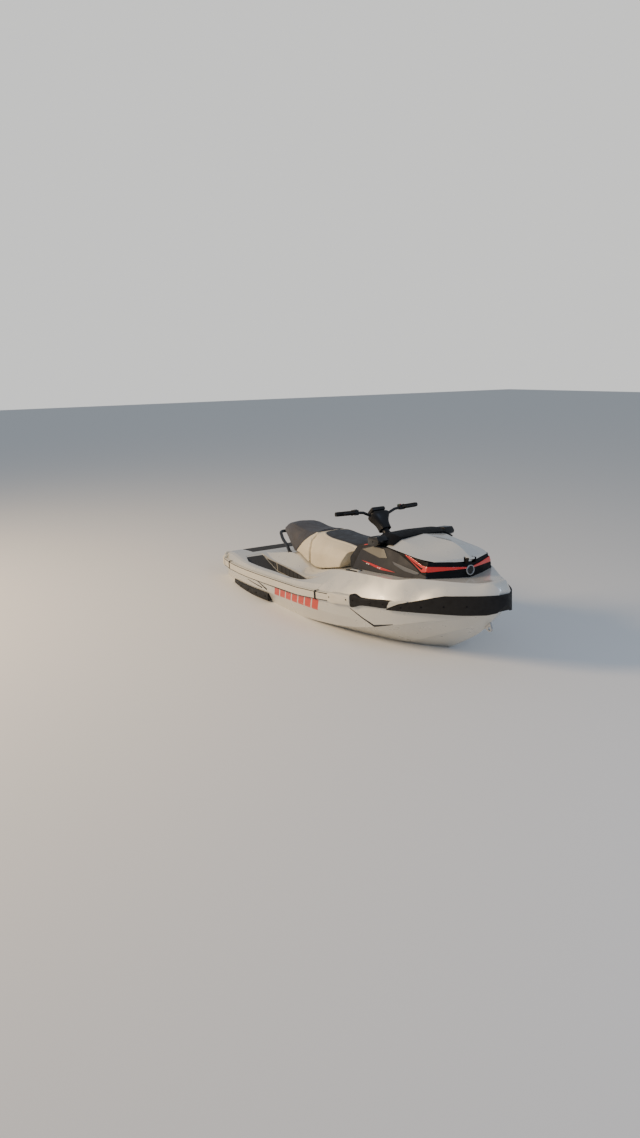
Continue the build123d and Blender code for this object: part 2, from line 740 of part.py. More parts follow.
def hood_body(lower=0.0, inset=0.0):
    rows = [
        (812, 312, 848, 205, 906, 926),
        (907, 310, 838, 200, 893, 917),
        (1060, 302, 820, 190, 862, 906),
        (1230, 279, 797, 172, 826, 888),
        (1310, 245, 784, 126, 812, 852),
        (1376, 214, 776, 70, 796, 812),
        (1430, 200, 770, 50, 784, 792),
    ]
    stations = []
    for x, edge_y, edge_z, mid_y, mid_z, ridge in rows:
        half = [
            (0, 600),
            (edge_y - inset, 600),
            (edge_y - inset, edge_z + 4 - lower),
            (mid_y, mid_z - lower),
            (0, ridge - lower),
        ]
        stations.append((x, across(half)))
    return body_along_x(stations)


def hood_plan(inset=0.0):
    nose = [(1264 - inset, 500), (1266 - inset, 276), (1325 - inset, 128), (1379 - inset, 0)]
    return prism_z(plan([(700 + 12 * inset, 500)] + nose), 500, 1200)


def make_hood():
    shell = hood_body() & hood_plan()
    shell = shell - (hood_body(SKIN, SKIN) & hood_plan(10.0))
    shell = shell - prism_y(under_hood(-RUN_GAP) + [(1800, 786), (1800, 300), (560, 300)], 700)
    px, pz = HOOD_PIVOT
    for side in (-1, 1):
        y = (side * 34 - 10, side * 34 + 10)
        shell = shell - box((px - 38, px + 30), y, (pz - 60, pz + 34))
    shell = shell + rod((px, -24, pz), (px, 24, pz), 8) + box((px - 30, px), (-24, 24), (pz - 6, pz + 6))
    return shell - rod((px, -40, pz), (px, 40, pz), 4 + PIN_FIT)


def make_visor():
    rows = [(610, 262, 884, 926), (700, 280, 888, 942), (790, 292, 882, 940), (860, 280, 874, 924)]
    stations = []
    for x, half, edge_z, mid_z in rows:
        port = [(half, edge_z), (half - 80, mid_z - 6), (0, mid_z)]
        under = [(0, mid_z - 12), (half - 86, mid_z - 18), (half - 8, edge_z - 10)]
        top = port + [(-y, z) for y, z in reversed(port) if y > 0]
        under = [(-y, z) for y, z in reversed(under) if y > 0] + under
        stations.append((x, top + under))
    return body_along_x(stations) - hood_body(-TIGHT, -TIGHT)


def make_mirror_housings():
    body = [(652, 858), (746, 862), (784, 880), (790, 900), (766, 928), (672, 922), (652, 908)]
    housing = Pos(0, 312, 0) * prism_y(body, 42)
    glass = box((600, 655), (276, 348), (864, 916))
    return both_sides(housing - make_visor() - glass)


def make_mirror_glass():
    return both_sides(box((651, 655), (277, 347), (865, 915)))


def make_lid():
    plate = prism_y([on_slope(22, 2), on_slope(106, 2), on_slope(106, 12), on_slope(22, 12)], LID_HALF)
    px, pz = on_slope(*LID_PIVOT)
    reach = LID_PIVOT[0]
    web = prism_y([on_slope(104, 4), on_slope(reach, 4), on_slope(reach, 12), on_slope(104, 12)], 50.0)
    lid = plate + web + rod((px, -50, pz), (px, 50, pz), 7)
    return lid - rod((px, -70, pz), (px, 70, pz), 3 + PIN_FIT)


def make_gauge():
    body = [(520, 820), (606, 862), (604, 886), (592, 902), (522, 872)]
    return prism_y(body, 90.0) - prism_y(core_profile(), CORE_HALF)


# Seats and handle


def seat(rows):
    stations = []
    for x, low_y, edge_z, mid_y, mid_z, top_y, top in rows:
        half = [
            (0, 480),
            (low_y, 480),
            (low_y, edge_z),
            (mid_y, mid_z),
            (top_y, top - 10),
            (0, top),
        ]
        stations.append((x, across(half)))
    return body_along_x(stations) - pedestal()


def make_front_seat():
    rows = [
        (SEAT_FORE_X, 262, 640, 236, 706, 112, 770),
        (100, 262, 645, 230, 722, 130, 788),
        (-150, 258, 650, 222, 736, 145, 802),
        (-350, 252, 655, 220, 748, 152, 822),
        (SEAT_PARTING_X + SEAT_PARTING / 2, 248, 652, 222, 752, 150, 830),
    ]
    return seat(rows) - prism_y(SEAT_RAKE, 500)


def make_rear_seat():
    rows = [
        (SEAT_PARTING_X - SEAT_PARTING / 2, 248, 650, 222, 748, 150, 828),
        (-580, 242, 655, 218, 740, 148, 815),
        (-700, 230, 664, 210, 746, 146, 820),
        (-820, 212, 690, 196, 764, 140, 841),
        (-918, 186, 718, 174, 780, 126, 853),
        (-1010, 156, 736, 146, 788, 106, 847),
        (-1100, 124, 750, 114, 786, 82, 827),
        (-1180, 92, 760, 82, 778, 56, 800),
        (-1240, 62, 762, 54, 770, 34, 776),
    ]
    under = UNDERCUT + [(UNDERCUT[-1][0], 300), (UNDERCUT[0][0], 300)]
    return seat(rows) - prism_y(under, 500)


def make_grab_handle():
    """A bent tube that leaves the pedestal beside the seat's tail and loops round behind it."""
    port = [(-800, 236, 588), (-872, 214, 622), (-1000, 168, 648), (-1150, 120, 670)]
    port = port + [(-1275, 72, 700), (-1340, 34, 713)]
    starboard = [Vector(x, -y, z) for x, y, z in reversed(port)]
    points = [Vector(*p) for p in port] + [Vector(-1358, 0, 715)] + starboard
    path = Edge.make_spline(points)
    start = Plane(origin=path.position_at(0), z_dir=path.tangent_at(0))
    loop = sweep(start * Circle(HANDLE_R), path=path)
    for side in (-1, 1):
        loop = loop + cone((-812, side * 232, 590), (-812, side * 232, 614), 24, 17)
    return loop - pedestal()


# Steering


def rake():
    return Vector(-sin(radians(HEAD_RAKE)), 0, cos(radians(HEAD_RAKE)))


def on_head(distance):
    return HEAD + rake() * distance


def make_neck():
    neck = cone(on_head(-90), on_head(0), 46, 40)
    neck = neck - prism_y(core_profile(), CORE_HALF)
    return neck - rod(on_head(-40), on_head(10), 20 + PIN_FIT)


def make_column():
    column = rod(on_head(-34), on_head(RUN_GAP + 20), 20) + rod(on_head(RUN_GAP), on_head(BAR_UP - 20), 30)
    clamp = Pos(*on_head(BAR_UP)) * Rot(0, -HEAD_RAKE, 0) * Box(60, 96, 60)
    column = column + clamp
    half = Vector(0, 60, 0)
    return column - rod(on_head(BAR_UP) - half, on_head(BAR_UP) + half, BAR_R + TIGHT)


def bar_path():
    mid = on_head(BAR_UP)
    steps = [(0, 0, 0), (0, 62, 0), (6, 150, 40), (-4, 232, 48), (-20, BAR_HALF, 50)]
    return [mid + Vector(*step) for step in steps]


def make_handlebar():
    points = bar_path()
    shape = rod(points[0] - Vector(0, 62, 0), points[1], BAR_R)
    for side in (1, -1):
        run = [Vector(p.X, p.Y * side, p.Z) for p in points[1:]]
        for a, b in zip(run, run[1:]):
            shape = shape + rod(a, b, BAR_R)
            shape = shape + Pos(*a) * Sphere(BAR_R)
    return shape


def make_grips():
    points = bar_path()
    start, end = points[3], points[4]
    along = (end - start).normalized()
    inner = start + along * (GRIP_IN - 232)
    grip = rod(inner, end + along * 2, 17) + rod(inner - along * 5, inner, 22)
    grip = grip - rod(start, end + along * 0.5, BAR_R + TIGHT)
    return both_sides(grip)


def make_levers():
    mid = on_head(BAR_UP)
    perch = mid + Vector(-4, 232, 48)
    block = Pos(perch.X, perch.Y - 16, perch.Z) * Box(40, 34, 40)
    bore = BAR_R + TIGHT
    inner, bend, outer = bar_path()[2:]
    block = block - rod(inner, bend, bore) - rod(bend, outer, bore) - Pos(*bend) * Sphere(bore)
    elbow = perch + Vector(52, 6, 8)
    blade = rod(perch + Vector(16, -16, 4), elbow, 6)
    blade = blade + rod(elbow, perch + Vector(38, 118, 8), 6) + Pos(*elbow) * Sphere(6)
    return both_sides(block + blade)


def make_pad():
    mid = on_head(BAR_UP)
    pad = Pos(mid.X, 0, mid.Z) * Rot(0, -HEAD_RAKE, 0) * Pos(0, 0, 48) * Box(86, 130, 34)
    return pad


# Jet pump


def make_housing():
    z = PUMP_Z
    outer = PUMP_R + PUMP_WALL
    cone_x, lip_x, end_x = NOZZLE_X + 90, NOZZLE_X + 44, NOZZLE_X + 2
    fore = (TUNNEL_FORE_X, 0, z)
    shell = rod(fore, (cone_x, 0, z), outer) + rod(fore, (TUNNEL_FORE_X - 12, 0, z), outer + 14)
    shell = shell + cone((cone_x, 0, z), (lip_x, 0, z), outer, NOZZLE_R + 8)
    shell = shell + rod((lip_x, 0, z), (end_x, 0, z), NOZZLE_R + 8)
    bore = rod(fore, (cone_x, 0, z), PUMP_R) + cone((cone_x, 0, z), (lip_x, 0, z), PUMP_R, NOZZLE_R)
    bore = bore + rod((lip_x, 0, z), (end_x, 0, z), NOZZLE_R)
    shell = shell - bore
    hub = rod((-1384, 0, z), (-1458, 0, z), 32) + cone((-1458, 0, z), (-1500, 0, z), 32, 8)
    vanes = None
    for i in range(6):
        vane = Rot(i * 60, 0, 0) * (Pos(0, 0, (PUMP_R + 34) / 2) * Rot(0, 0, 12) * Box(62, 4, PUMP_R - 26))
        vanes = vane if vanes is None else vanes + vane
    vanes = Pos(-1418, 0, z) * vanes & rod((-1386, 0, z), (cone_x, 0, z), PUMP_R + 2)
    shell = shell + hub + vanes
    shell = shell - rod((-1380, 0, z), (-1440, 0, z), SHAFT_R + PIN_FIT)
    for side in (-1, 1):
        plate = [(-1400, z - 26), (-1400, z + 26), (-1545, z + 18), (-1552, z), (-1545, z - 18)]
        ear = prism_y(plate, EAR_T / 2)
        ear = Pos(0, side * (EAR_Y + EAR_T / 2), 0) * ear
        web = box((cone_x, -1400), (min(0, side * 100), max(0, side * 100)), (z - 14, z + 14))
        web = web - rod((-1300, 0, z), (-1500, 0, z), outer - 4)
        shell = shell + ear + web
        shell = shell + rod((NOZZLE_X, side * EAR_Y, z), (NOZZLE_X, side * (EAR_Y + 28), z), 8)
    for up in (-1, 1):
        lug = box((NOZZLE_X - 14, lip_x + 4), (-14, 14), (z + up * LUG_Z - 4, z + up * LUG_Z + 4))
        ends = sorted((z + up * 52, z + up * LUG_Z))
        stem = box((lip_x - 18, lip_x + 4), (-14, 14), ends)
        stem = stem - rod((cone_x, 0, z), (end_x, 0, z), NOZZLE_R + 4)
        pin = rod((NOZZLE_X, 0, z + up * LUG_Z), (NOZZLE_X, 0, z + up * (NOZZLE_IN + 2)), 7)
        shell = shell + lug + stem + pin
    return shell


def make_nozzle():
    z = PUMP_Z
    wall = 6.0
    fore, aft = NOZZLE_X + 10, NOZZLE_X - 120
    shell = cone((fore, 0, z), (aft, 0, z), NOZZLE_IN + wall, 54)
    shell = shell - cone((fore + 1, 0, z), (aft - 1, 0, z), NOZZLE_IN, 54 - wall)
    for up in (-1, 1):
        shell = shell + rod((NOZZLE_X, 0, z + up * (NOZZLE_IN - 1)), (NOZZLE_X, 0, z + up * (LUG_Z - 6)), 13)
    return shell - rod((NOZZLE_X, 0, z - LUG_Z), (NOZZLE_X, 0, z + LUG_Z), 7 + PIN_FIT)


def make_impeller():
    z = PUMP_Z
    shape = rod((-1376, 0, z), (-1290, 0, z), 32) + cone((-1290, 0, z), (-1262, 0, z), 32, SHAFT_R + 4)
    blades = None
    for i in range(4):
        blade = Rot(i * 90, 0, 0) * (Pos(0, 0, 52) * Rot(0, 0, 48) * Box(96, 5, 52))
        blades = blade if blades is None else blades + blade
    ring = rod((-1374, 0, z), (-1292, 0, z), PUMP_R - BLADE_GAP)
    shape = shape + (Pos(-1333, 0, z) * blades & ring)
    shape = shape + rod((-1440 + 8, 0, z), (-1370, 0, z), SHAFT_R)
    return shape + rod((-1270, 0, z), (ENGINE_X[0] - RUN_GAP, 0, z), SHAFT_R)


def make_bucket():
    z = PUMP_Z
    low, high = 42.0, 97.0
    width = EAR_Y + EAR_T + RUN_GAP + 8
    centre = Vector(NOZZLE_X, 0, z)
    outer = rod((NOZZLE_X, -width, z), (NOZZLE_X, width, z), BUCKET_R + BUCKET_T)
    inner = rod((NOZZLE_X, -width + 8, z), (NOZZLE_X, width - 8, z), BUCKET_R)
    wedge = [(NOZZLE_X, z)]
    for angle in (low, low + 18, low + 36, high):
        wedge.append((NOZZLE_X - 260 * cos(radians(angle)), z + 260 * sin(radians(angle))))
    shell = (outer - inner) & prism_y(wedge, 300)
    for side in (-1, 1):
        a, b = side * (width - 8), side * width
        shell = shell + rod((NOZZLE_X, min(a, b), z), (NOZZLE_X, max(a, b), z), 22)
    return shell - rod((NOZZLE_X, -200, z), (NOZZLE_X, 200, z), 8 + PIN_FIT)


def make_ride_plate():
    return box((-1684, TUNNEL_FORE_X), (-TUNNEL_HALF, TUNNEL_HALF), (40, 52))


def make_grate():
    frame = box((-1030, -634), (-86, 86), (36, 45))
    for y in (-60, -20, 20, 60):
        frame = frame - box((-1015, -650), (y - 15, y + 15), (20, 60))
    return frame


def make_bow_eye():
    """A plate on the stem with one eye, square to the stem's slope."""
    foot = Vector(EYE_X, 0, read_at(HULL_LINES, 1, EYE_X))
    ahead = Vector(EYE_X + 20, 0, read_at(HULL_LINES, 1, EYE_X + 20))
    way = (ahead - foot).normalized()
    out = Vector(way.Z, 0, -way.X)
    eye = foot + out * EYE_OUT
    aft_side = [foot - way * 44 - out * 12, eye - way * 18 + out * 8]
    points = aft_side + [eye + way * 18 + out * 8, foot + way * 44 - out * 12]
    plate = prism_y([(p.X, p.Z) for p in points], EYE_THICK / 2)
    plate = plate + rod(eye + Vector(0, -EYE_THICK / 2, 0), eye + Vector(0, EYE_THICK / 2, 0), EYE_R + 9)
    return plate - hull_body(TIGHT) - rod(eye + Vector(0, -30, 0), eye + Vector(0, 30, 0), EYE_R)


def make_stern_eyes():
    plate = box((-1722, TRANSOM_X), (350, 362), (360, 412))
    eye = plate - rod((-1706, 340, 386), (-1706, 372, 386), 11)
    return both_sides(eye)


def make_engine():
    return box(ENGINE_X, (-ENGINE_HALF, ENGINE_HALF), ENGINE_Z)


PIECES = {
    "hull_shell": make_hull,
    "aft_deck": make_aft_deck,
    "fore_deck": make_fore_deck,
    "seat_pedestal": make_pedestal,
    "aft_strakes": make_aft_strakes,
    "strake_brackets": make_clamps,
    "strake_pods": make_pods,
    "fore_strakes": make_fore_strakes,
    "strake_tips": make_tips,
    "stern_caps": make_stern_caps,
    "bow_bumper": make_bumper,
    "sponsons": make_sponsons,
    "footwell_mats": make_footwell_mats,
    "platform_mat": make_platform_mat,
    "console_core": make_core,
    "storage_bin": make_bin,
    "console_side_panels": make_side_panels,
    "nose_band": make_nose_band,
    "hood": make_hood,
    "visor": make_visor,
    "mirror_housings": make_mirror_housings,
    "mirror_glass": make_mirror_glass,
    "glovebox_lid": make_lid,
    "gauge_pod": make_gauge,
    "front_seat": make_front_seat,
    "rear_seat": make_rear_seat,
    "grab_handle": make_grab_handle,
    "steering_neck": make_neck,
    "steering_column": make_column,
    "handlebar": make_handlebar,
    "grips": make_grips,
    "control_levers": make_levers,
    "bar_pad": make_pad,
    "pump_housing": make_housing,
    "steering_nozzle": make_nozzle,
    "impeller": make_impeller,
    "reverse_bucket": make_bucket,
    "ride_plate": make_ride_plate,
    "intake_grate": make_grate,
    "bow_eye": make_bow_eye,
    "stern_eyes": make_stern_eyes,
    "engine_block": make_engine,
}

if __name__ == "__main__":
    os.makedirs("parts", exist_ok=True)
    for name, make in PIECES.items():
        export_step(Pos(0, 0, -DRAFT) * make(), f"parts/{name}.step")
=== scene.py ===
import math
from functools import partial

import bmesh
import bpy
from mathutils import Matrix, Vector
from mathutils.bvhtree import BVHTree


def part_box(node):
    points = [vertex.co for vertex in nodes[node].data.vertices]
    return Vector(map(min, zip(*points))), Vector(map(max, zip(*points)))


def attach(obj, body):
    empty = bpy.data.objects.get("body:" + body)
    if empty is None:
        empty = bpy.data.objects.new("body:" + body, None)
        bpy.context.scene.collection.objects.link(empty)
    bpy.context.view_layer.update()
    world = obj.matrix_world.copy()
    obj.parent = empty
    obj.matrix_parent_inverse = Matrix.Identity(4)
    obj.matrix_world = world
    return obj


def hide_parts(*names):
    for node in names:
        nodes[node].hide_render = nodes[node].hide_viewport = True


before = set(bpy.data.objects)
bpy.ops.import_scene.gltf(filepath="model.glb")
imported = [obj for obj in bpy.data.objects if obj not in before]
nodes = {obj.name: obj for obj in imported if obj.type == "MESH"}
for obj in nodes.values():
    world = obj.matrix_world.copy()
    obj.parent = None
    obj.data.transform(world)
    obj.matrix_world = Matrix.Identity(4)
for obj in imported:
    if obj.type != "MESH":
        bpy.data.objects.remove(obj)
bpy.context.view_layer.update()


# The camera is a phone's wide lens, held off the starboard bow a little above the bars.
# Its place and turns were fitted to the craft's corners in the photograph.

PHOTO_HIGH = 1138
FOCAL_PIXELS = 789.0
SENSOR_WIDE = 36.0
CAMERA_AT = Vector((5.453, -3.544, 1.647))
CAMERA_YAW = math.radians(150.01)
CAMERA_DIP = math.radians(11.22)
CAMERA_ROLL = math.radians(-3.01)

ahead = Vector(
    (
        math.cos(CAMERA_YAW) * math.cos(CAMERA_DIP),
        math.sin(CAMERA_YAW) * math.cos(CAMERA_DIP),
        -math.sin(CAMERA_DIP),
    )
)
level_right = Vector((math.sin(CAMERA_YAW), -math.cos(CAMERA_YAW), 0.0))
level_up = level_right.cross(ahead)
right = level_right * math.cos(CAMERA_ROLL) + level_up * math.sin(CAMERA_ROLL)
up = level_up * math.cos(CAMERA_ROLL) - level_right * math.sin(CAMERA_ROLL)

camera_data = bpy.data.cameras.new("camera")
camera_data.sensor_width = SENSOR_WIDE
camera_data.lens = SENSOR_WIDE * FOCAL_PIXELS / PHOTO_HIGH
camera = bpy.data.objects.new("camera", camera_data)
camera.matrix_world = Matrix((right, up, -ahead)).transposed().to_4x4()
camera.matrix_world.translation = CAMERA_AT
bpy.context.collection.objects.link(camera)
bpy.context.scene.camera = camera


# The floor is a plain pale sheet at the waterline, clear from beneath so that the hull shows from below.
# The craft is level here and stood bow up in the photograph, so the sheet slopes instead.

FLOOR_HALF = 40.0
BOW_UP = math.radians(3.76)


def hex_colour(code):
    """An sRGB hex colour as linear light."""
    parts = [int(code[i : i + 2], 16) / 255.0 for i in (1, 3, 5)]
    return tuple(v / 12.92 if v <= 0.04045 else ((v + 0.055) / 1.055) ** 2.4 for v in parts) + (1.0,)


def add_node(tree, kind, inputs=None, **settings):
    """Adds a node. Its inputs take numbers, colours, sockets, or other nodes for their first output."""
    made = tree.nodes.new(kind)
    for name, value in settings.items():
        setattr(made, name, value)
    for name, value in (inputs or {}).items():
        if isinstance(value, bpy.types.Node):
            value = value.outputs[0]
        if isinstance(value, bpy.types.NodeSocket):
            tree.links.new(value, made.inputs[name])
        else:
            made.inputs[name].default_value = value
    return made


floor_paint = bpy.data.materials.new("pale_studio_floor")
floor_paint.use_nodes = True
tree = floor_paint.node_tree
surface = tree.nodes["Principled BSDF"]
surface.inputs["Base Color"].default_value = hex_colour("#E4E3E0")
surface.inputs["Roughness"].default_value = 0.9
beneath = add_node(tree, "ShaderNodeNewGeometry").outputs["Backfacing"]
clear = add_node(tree, "ShaderNodeBsdfTransparent")
sides = add_node(tree, "ShaderNodeMixShader", {0: beneath, 1: surface, 2: clear})
tree.links.new(sides.outputs[0], tree.nodes["Material Output"].inputs["Surface"])

floor_mesh = bpy.data.meshes.new("floor")
corners = [Vector((x, y, -x * math.tan(BOW_UP))) for x, y in ((-1, -1), (1, -1), (1, 1), (-1, 1))]
floor_mesh.from_pydata([corner * FLOOR_HALF for corner in corners], [], [(0, 1, 2, 3)])
floor_mesh.materials.append(floor_paint)
floor = bpy.data.objects.new("floor", floor_mesh)
bpy.context.collection.objects.link(floor)


# The light is plain and soft: one large warm lamp high to the camera's left, a cooler one off the bow,
# and an even pale sky that shows near white behind the craft.

LIT_POINT = Vector((0.3, 0, 0.3))

sky = bpy.data.worlds.new("studio_sky")
bpy.context.scene.world = sky
sky.use_nodes = True
tree = sky.node_tree
direct = add_node(tree, "ShaderNodeLightPath").outputs["Is Camera Ray"]
seen = add_node(tree, "ShaderNodeBackground", {"Color": hex_colour("#F4F4F2"), "Strength": 1.0})
light = add_node(tree, "ShaderNodeBackground", {"Color": hex_colour("#D5E0EE"), "Strength": 0.5})
mixed = add_node(tree, "ShaderNodeMixShader", {0: direct, 1: light, 2: seen})
tree.links.new(mixed.outputs[0], tree.nodes["World Output"].inputs["Surface"])

# Columns: name, place, diameter, watts, colour
for name, place, size, watts, colour in (
    ("key_lamp", (-2.6, -7.2, 4.4), 2.6, 760.0, "#FFE0B6"),
    ("bow_lamp", (7.5, 1.0, 3.5), 3.5, 150.0, "#CFE0FF"),
):
    lamp_data = bpy.data.lights.new(name, "AREA")
    lamp_data.shape = "DISK"
    lamp_data.size = size
    lamp_data.energy = watts
    lamp_data.color = hex_colour(colour)[:3]
    lamp = bpy.data.objects.new(name, lamp_data)
    lamp.location = place
    lamp.rotation_euler = (LIT_POINT - Vector(place)).to_track_quat("-Z", "Y").to_euler()
    bpy.context.collection.objects.link(lamp)


# The hull, decks, seat pedestal and hood are laminated mouldings in warm silver gelcoat, sprayed in the
# mould and bonded at the joint line. Faces that nearly meet are shaded round, and the rest stay crisp.


def shade_by_angle(limit):
    """A modifier that shades edges under that many degrees as round and keeps the others sharp."""
    group = bpy.data.node_groups.new("shade_by_angle_%d" % limit, "GeometryNodeTree")
    for way in ("INPUT", "OUTPUT"):
        group.interface.new_socket("Geometry", in_out=way, socket_type="NodeSocketGeometry")
    came = add_node(group, "NodeGroupInput")
    joined = add_node(group, "GeometryNodeMergeByDistance", {"Geometry": came, "Distance": 0.00002})
    loose = add_node(group, "GeometryNodeRemoveAttribute", {"Geometry": joined, "Name": "custom_normal"})
    angle = add_node(group, "GeometryNodeInputMeshEdgeAngle")
    flat = add_node(group, "FunctionNodeCompare", data_type="FLOAT", operation="LESS_THAN")
    group.links.new(angle.outputs["Unsigned Angle"], flat.inputs["A"])
    flat.inputs["B"].default_value = math.radians(limit)
    shaded = {"Geometry": loose, "Shade Smooth": flat}
    edges = add_node(group, "GeometryNodeSetShadeSmooth", shaded, domain="EDGE")
    faces = add_node(group, "GeometryNodeSetShadeSmooth", {"Geometry": edges}, domain="FACE")
    add_node(group, "NodeGroupOutput", {0: faces})
    return group


ROUND = shade_by_angle(24)
CRISP = shade_by_angle(13)


def shade(piece, group=ROUND):
    """Puts a shading group on a piece."""
    piece.modifiers.new("shading", "NODES").node_group = group


def soften(piece, width):
    """Rounds the sharp corners of a moulding by that width in metres."""
    weld = piece.modifiers.new("weld", "WELD")
    weld.merge_threshold = 0.00003
    flats = piece.modifiers.new("flats", "DECIMATE")
    flats.decimate_type = "DISSOLVE"
    flats.angle_limit = math.radians(0.6)
    edge = piece.modifiers.new("edge", "BEVEL")
    edge.width = width
    edge.segments = 2
    edge.limit_method = "ANGLE"
    edge.angle_limit = math.radians(32)
    edge.use_clamp_overlap = True


def dress(names, material, edge=0.0, group=ROUND):
    """Gives rigid pieces their finish, and the small radius that their corners have."""
    for name in names:
        piece = nodes[name]
        piece.data.materials.clear()
        piece.data.materials.append(material)
        if edge:
            soften(piece, edge)
        shade(piece, group)


def pattern(kind, size, detail=0.0):
    """A recipe for a texture of cells or waves that many millimetres wide, or (x, y, z) of them."""
    sizes = size if isinstance(size, tuple) else (size, size, size)

    def lay(tree):
        where = add_node(tree, "ShaderNodeTexCoord").outputs["Object"]
        per_metre = [1000.0 / wide for wide in sizes]
        scaled = add_node(tree, "ShaderNodeMapping", {"Vector": where, "Scale": per_metre})
        inputs = {"Vector": scaled, "Scale": 1.0, "Detail": detail}
        return add_node(tree, "ShaderNodeTex" + kind, inputs).outputs[0]

    return lay


# Noise seldom leaves this range, so it is spread from here
NOISE_LOW, NOISE_HIGH = 0.3, 0.7


def finish(name, plain, tints=None, rough=None, relief=()):
    """A material. Plain values go on the shader's own sockets.

    Tints are a recipe and colours, roughness is a recipe with its least and most, and relief has rows of
    a recipe, strength and depth in metres, each laid over the last."""
    made = bpy.data.materials.new(name)
    made.use_nodes = True
    tree = made.node_tree
    shader = tree.nodes["Principled BSDF"]
    for socket, value in plain.items():
        shader.inputs[socket].default_value = value
    if tints:
        recipe, *colours = tints
        ramp = add_node(tree, "ShaderNodeValToRGB", {"Fac": recipe(tree)})
        stops = ramp.color_ramp.elements
        while len(stops) < len(colours):
            stops.new(0.5)
        for i, colour in enumerate(colours):
            stops[i].position = i / (len(colours) - 1)
            stops[i].color = hex_colour(colour)
        tree.links.new(ramp.outputs["Color"], shader.inputs["Base Color"])
    if rough:
        recipe, least, most = rough
        ends = {"From Min": NOISE_LOW, "From Max": NOISE_HIGH, "To Min": least, "To Max": most}
        sheen = add_node(tree, "ShaderNodeMapRange", {"Value": recipe(tree), **ends})
        tree.links.new(sheen.outputs[0], shader.inputs["Roughness"])
    for recipe, strength, depth in relief:
        height = {"Height": recipe(tree), "Strength": strength, "Distance": depth}
        bump = add_node(tree, "ShaderNodeBump", height)
        for link in shader.inputs["Normal"].links[:]:
            tree.links.new(link.from_socket, bump.inputs["Normal"])
        tree.links.new(bump.outputs[0], shader.inputs["Normal"])
    return made


# The metal flake is under 0.1 mm on the real gelcoat and is drawn four times as coarse, so that it shows
FLAKE = pattern("Voronoi", 0.385)
SPRAY_SHADE = pattern("Noise", 455, 2.0)


def flake_over_shade(tree):
    """Bright cells over broad faint shading, each giving half of the tint."""
    halves = []
    for recipe, low, high in ((FLAKE, 0.1, 0.9), (SPRAY_SHADE, NOISE_LOW, NOISE_HIGH)):
        half = {"Value": recipe(tree), "From Min": low, "From Max": high, "To Max": 0.5}
        halves.append(add_node(tree, "ShaderNodeMapRange", half))
    return add_node(tree, "ShaderNodeMath", {0: halves[0], 1: halves[1]}, operation="ADD").outputs[0]


def gelcoat(name, pale, mid):
    """Sprayed gelcoat: a clear gloss over fine flake, with a little orange peel in long reflections."""
    return finish(
        name,
        {"Metallic": 0.25, "Coat Weight": 0.7, "Coat Roughness": 0.06},
        tints=(flake_over_shade, pale, mid),
        rough=(pattern("Noise", 111, 4.0), 0.25, 0.38),
        relief=[(pattern("Noise", 2.38, 1.0), 0.12, 0.0002)],
    )


deck_gelcoat = gelcoat("sprayed_silver_gelcoat", "#D8D6CE", "#C6C4BC")
dress(["aft_deck", "fore_deck", "seat_pedestal", "hood"], deck_gelcoat, group=CRISP)


# The hull has the same gelcoat, masked and sprayed on each side with seven slanted red blocks. Four black
# lines on each side paint the shade in its grooves and steps. Below the waterline the gelcoat is painted
# darker in lengthwise streaks, as the shade under the hull.

DRAFT = 0.190
# The red blocks stand between two lines from the first x to the last, at these heights over the waterline
BLOCKS_X = (-0.470, 0.262)
BLOCKS_FOOT = (0.137, 0.129)
BLOCKS_HEAD = (0.207, 0.222)
BLOCK_COUNT, BLOCK_PITCH, BLOCK_SHARE, BLOCK_LEAN = 7.0, 0.104, 0.84, 0.42
# A line of painted groove shade has two ends, each an x, a height above the keel and a half width
GROOVE_SHADE_LINES = (
    ((0.660, 0.410, 0.003), (0.873, 0.307, 0.009)),
    ((0.873, 0.307, 0.009), (1.042, 0.343, 0.003)),
    ((-0.824, 0.404, 0.003), (-0.612, 0.346, 0.011)),
    ((-1.013, 0.374, 0.003), (-0.704, 0.346, 0.007)),
)
LINE_END = 0.002
# The painted shade under the hull fades in between these heights, in streaks drawn out along x
UNDER_SHADE_TO, UNDER_SHADE_FROM = -0.17, 0.02
UNDER_SHADE_STREAKS = pattern("Noise", (178.6, 71.4, 71.4), 6.0)
# A mix of colours takes them at these inputs, and gives its own at this output
MIX_UNDER, MIX_OVER, MIX_RESULT = 6, 7, 2

# Each step is a name, an operation, and its inputs as numbers or names of earlier steps
steps = [
    ("from_aft", "SUBTRACT", "x", BLOCKS_X[0]),
    ("share", "DIVIDE", "from_aft", BLOCKS_X[1] - BLOCKS_X[0]),
    ("foot", "MULTIPLY_ADD", "share", BLOCKS_FOOT[1] - BLOCKS_FOOT[0], BLOCKS_FOOT[0]),
    ("head", "MULTIPLY_ADD", "share", BLOCKS_HEAD[1] - BLOCKS_HEAD[0], BLOCKS_HEAD[0]),
    ("over_foot", "SUBTRACT", "z", "foot"),
    ("slant", "MULTIPLY", "over_foot", BLOCK_LEAN),
    ("upright", "SUBTRACT", "x", "slant"),
    ("from_first", "SUBTRACT", "upright", BLOCKS_X[0]),
    ("count", "DIVIDE", "from_first", BLOCK_PITCH),
    ("part", "FRACT", "count"),
    ("red", "LESS_THAN", "part", BLOCK_SHARE),
]
for name, operation, value, limit in (
    ("above", "GREATER_THAN", "z", "foot"),
    ("below", "LESS_THAN", "z", "head"),
    ("after", "GREATER_THAN", "count", 0.0),
    ("before", "LESS_THAN", "count", BLOCK_COUNT),
):
    steps.append((name, operation, value, limit))
    steps.append(("red", "MULTIPLY", "red", name))
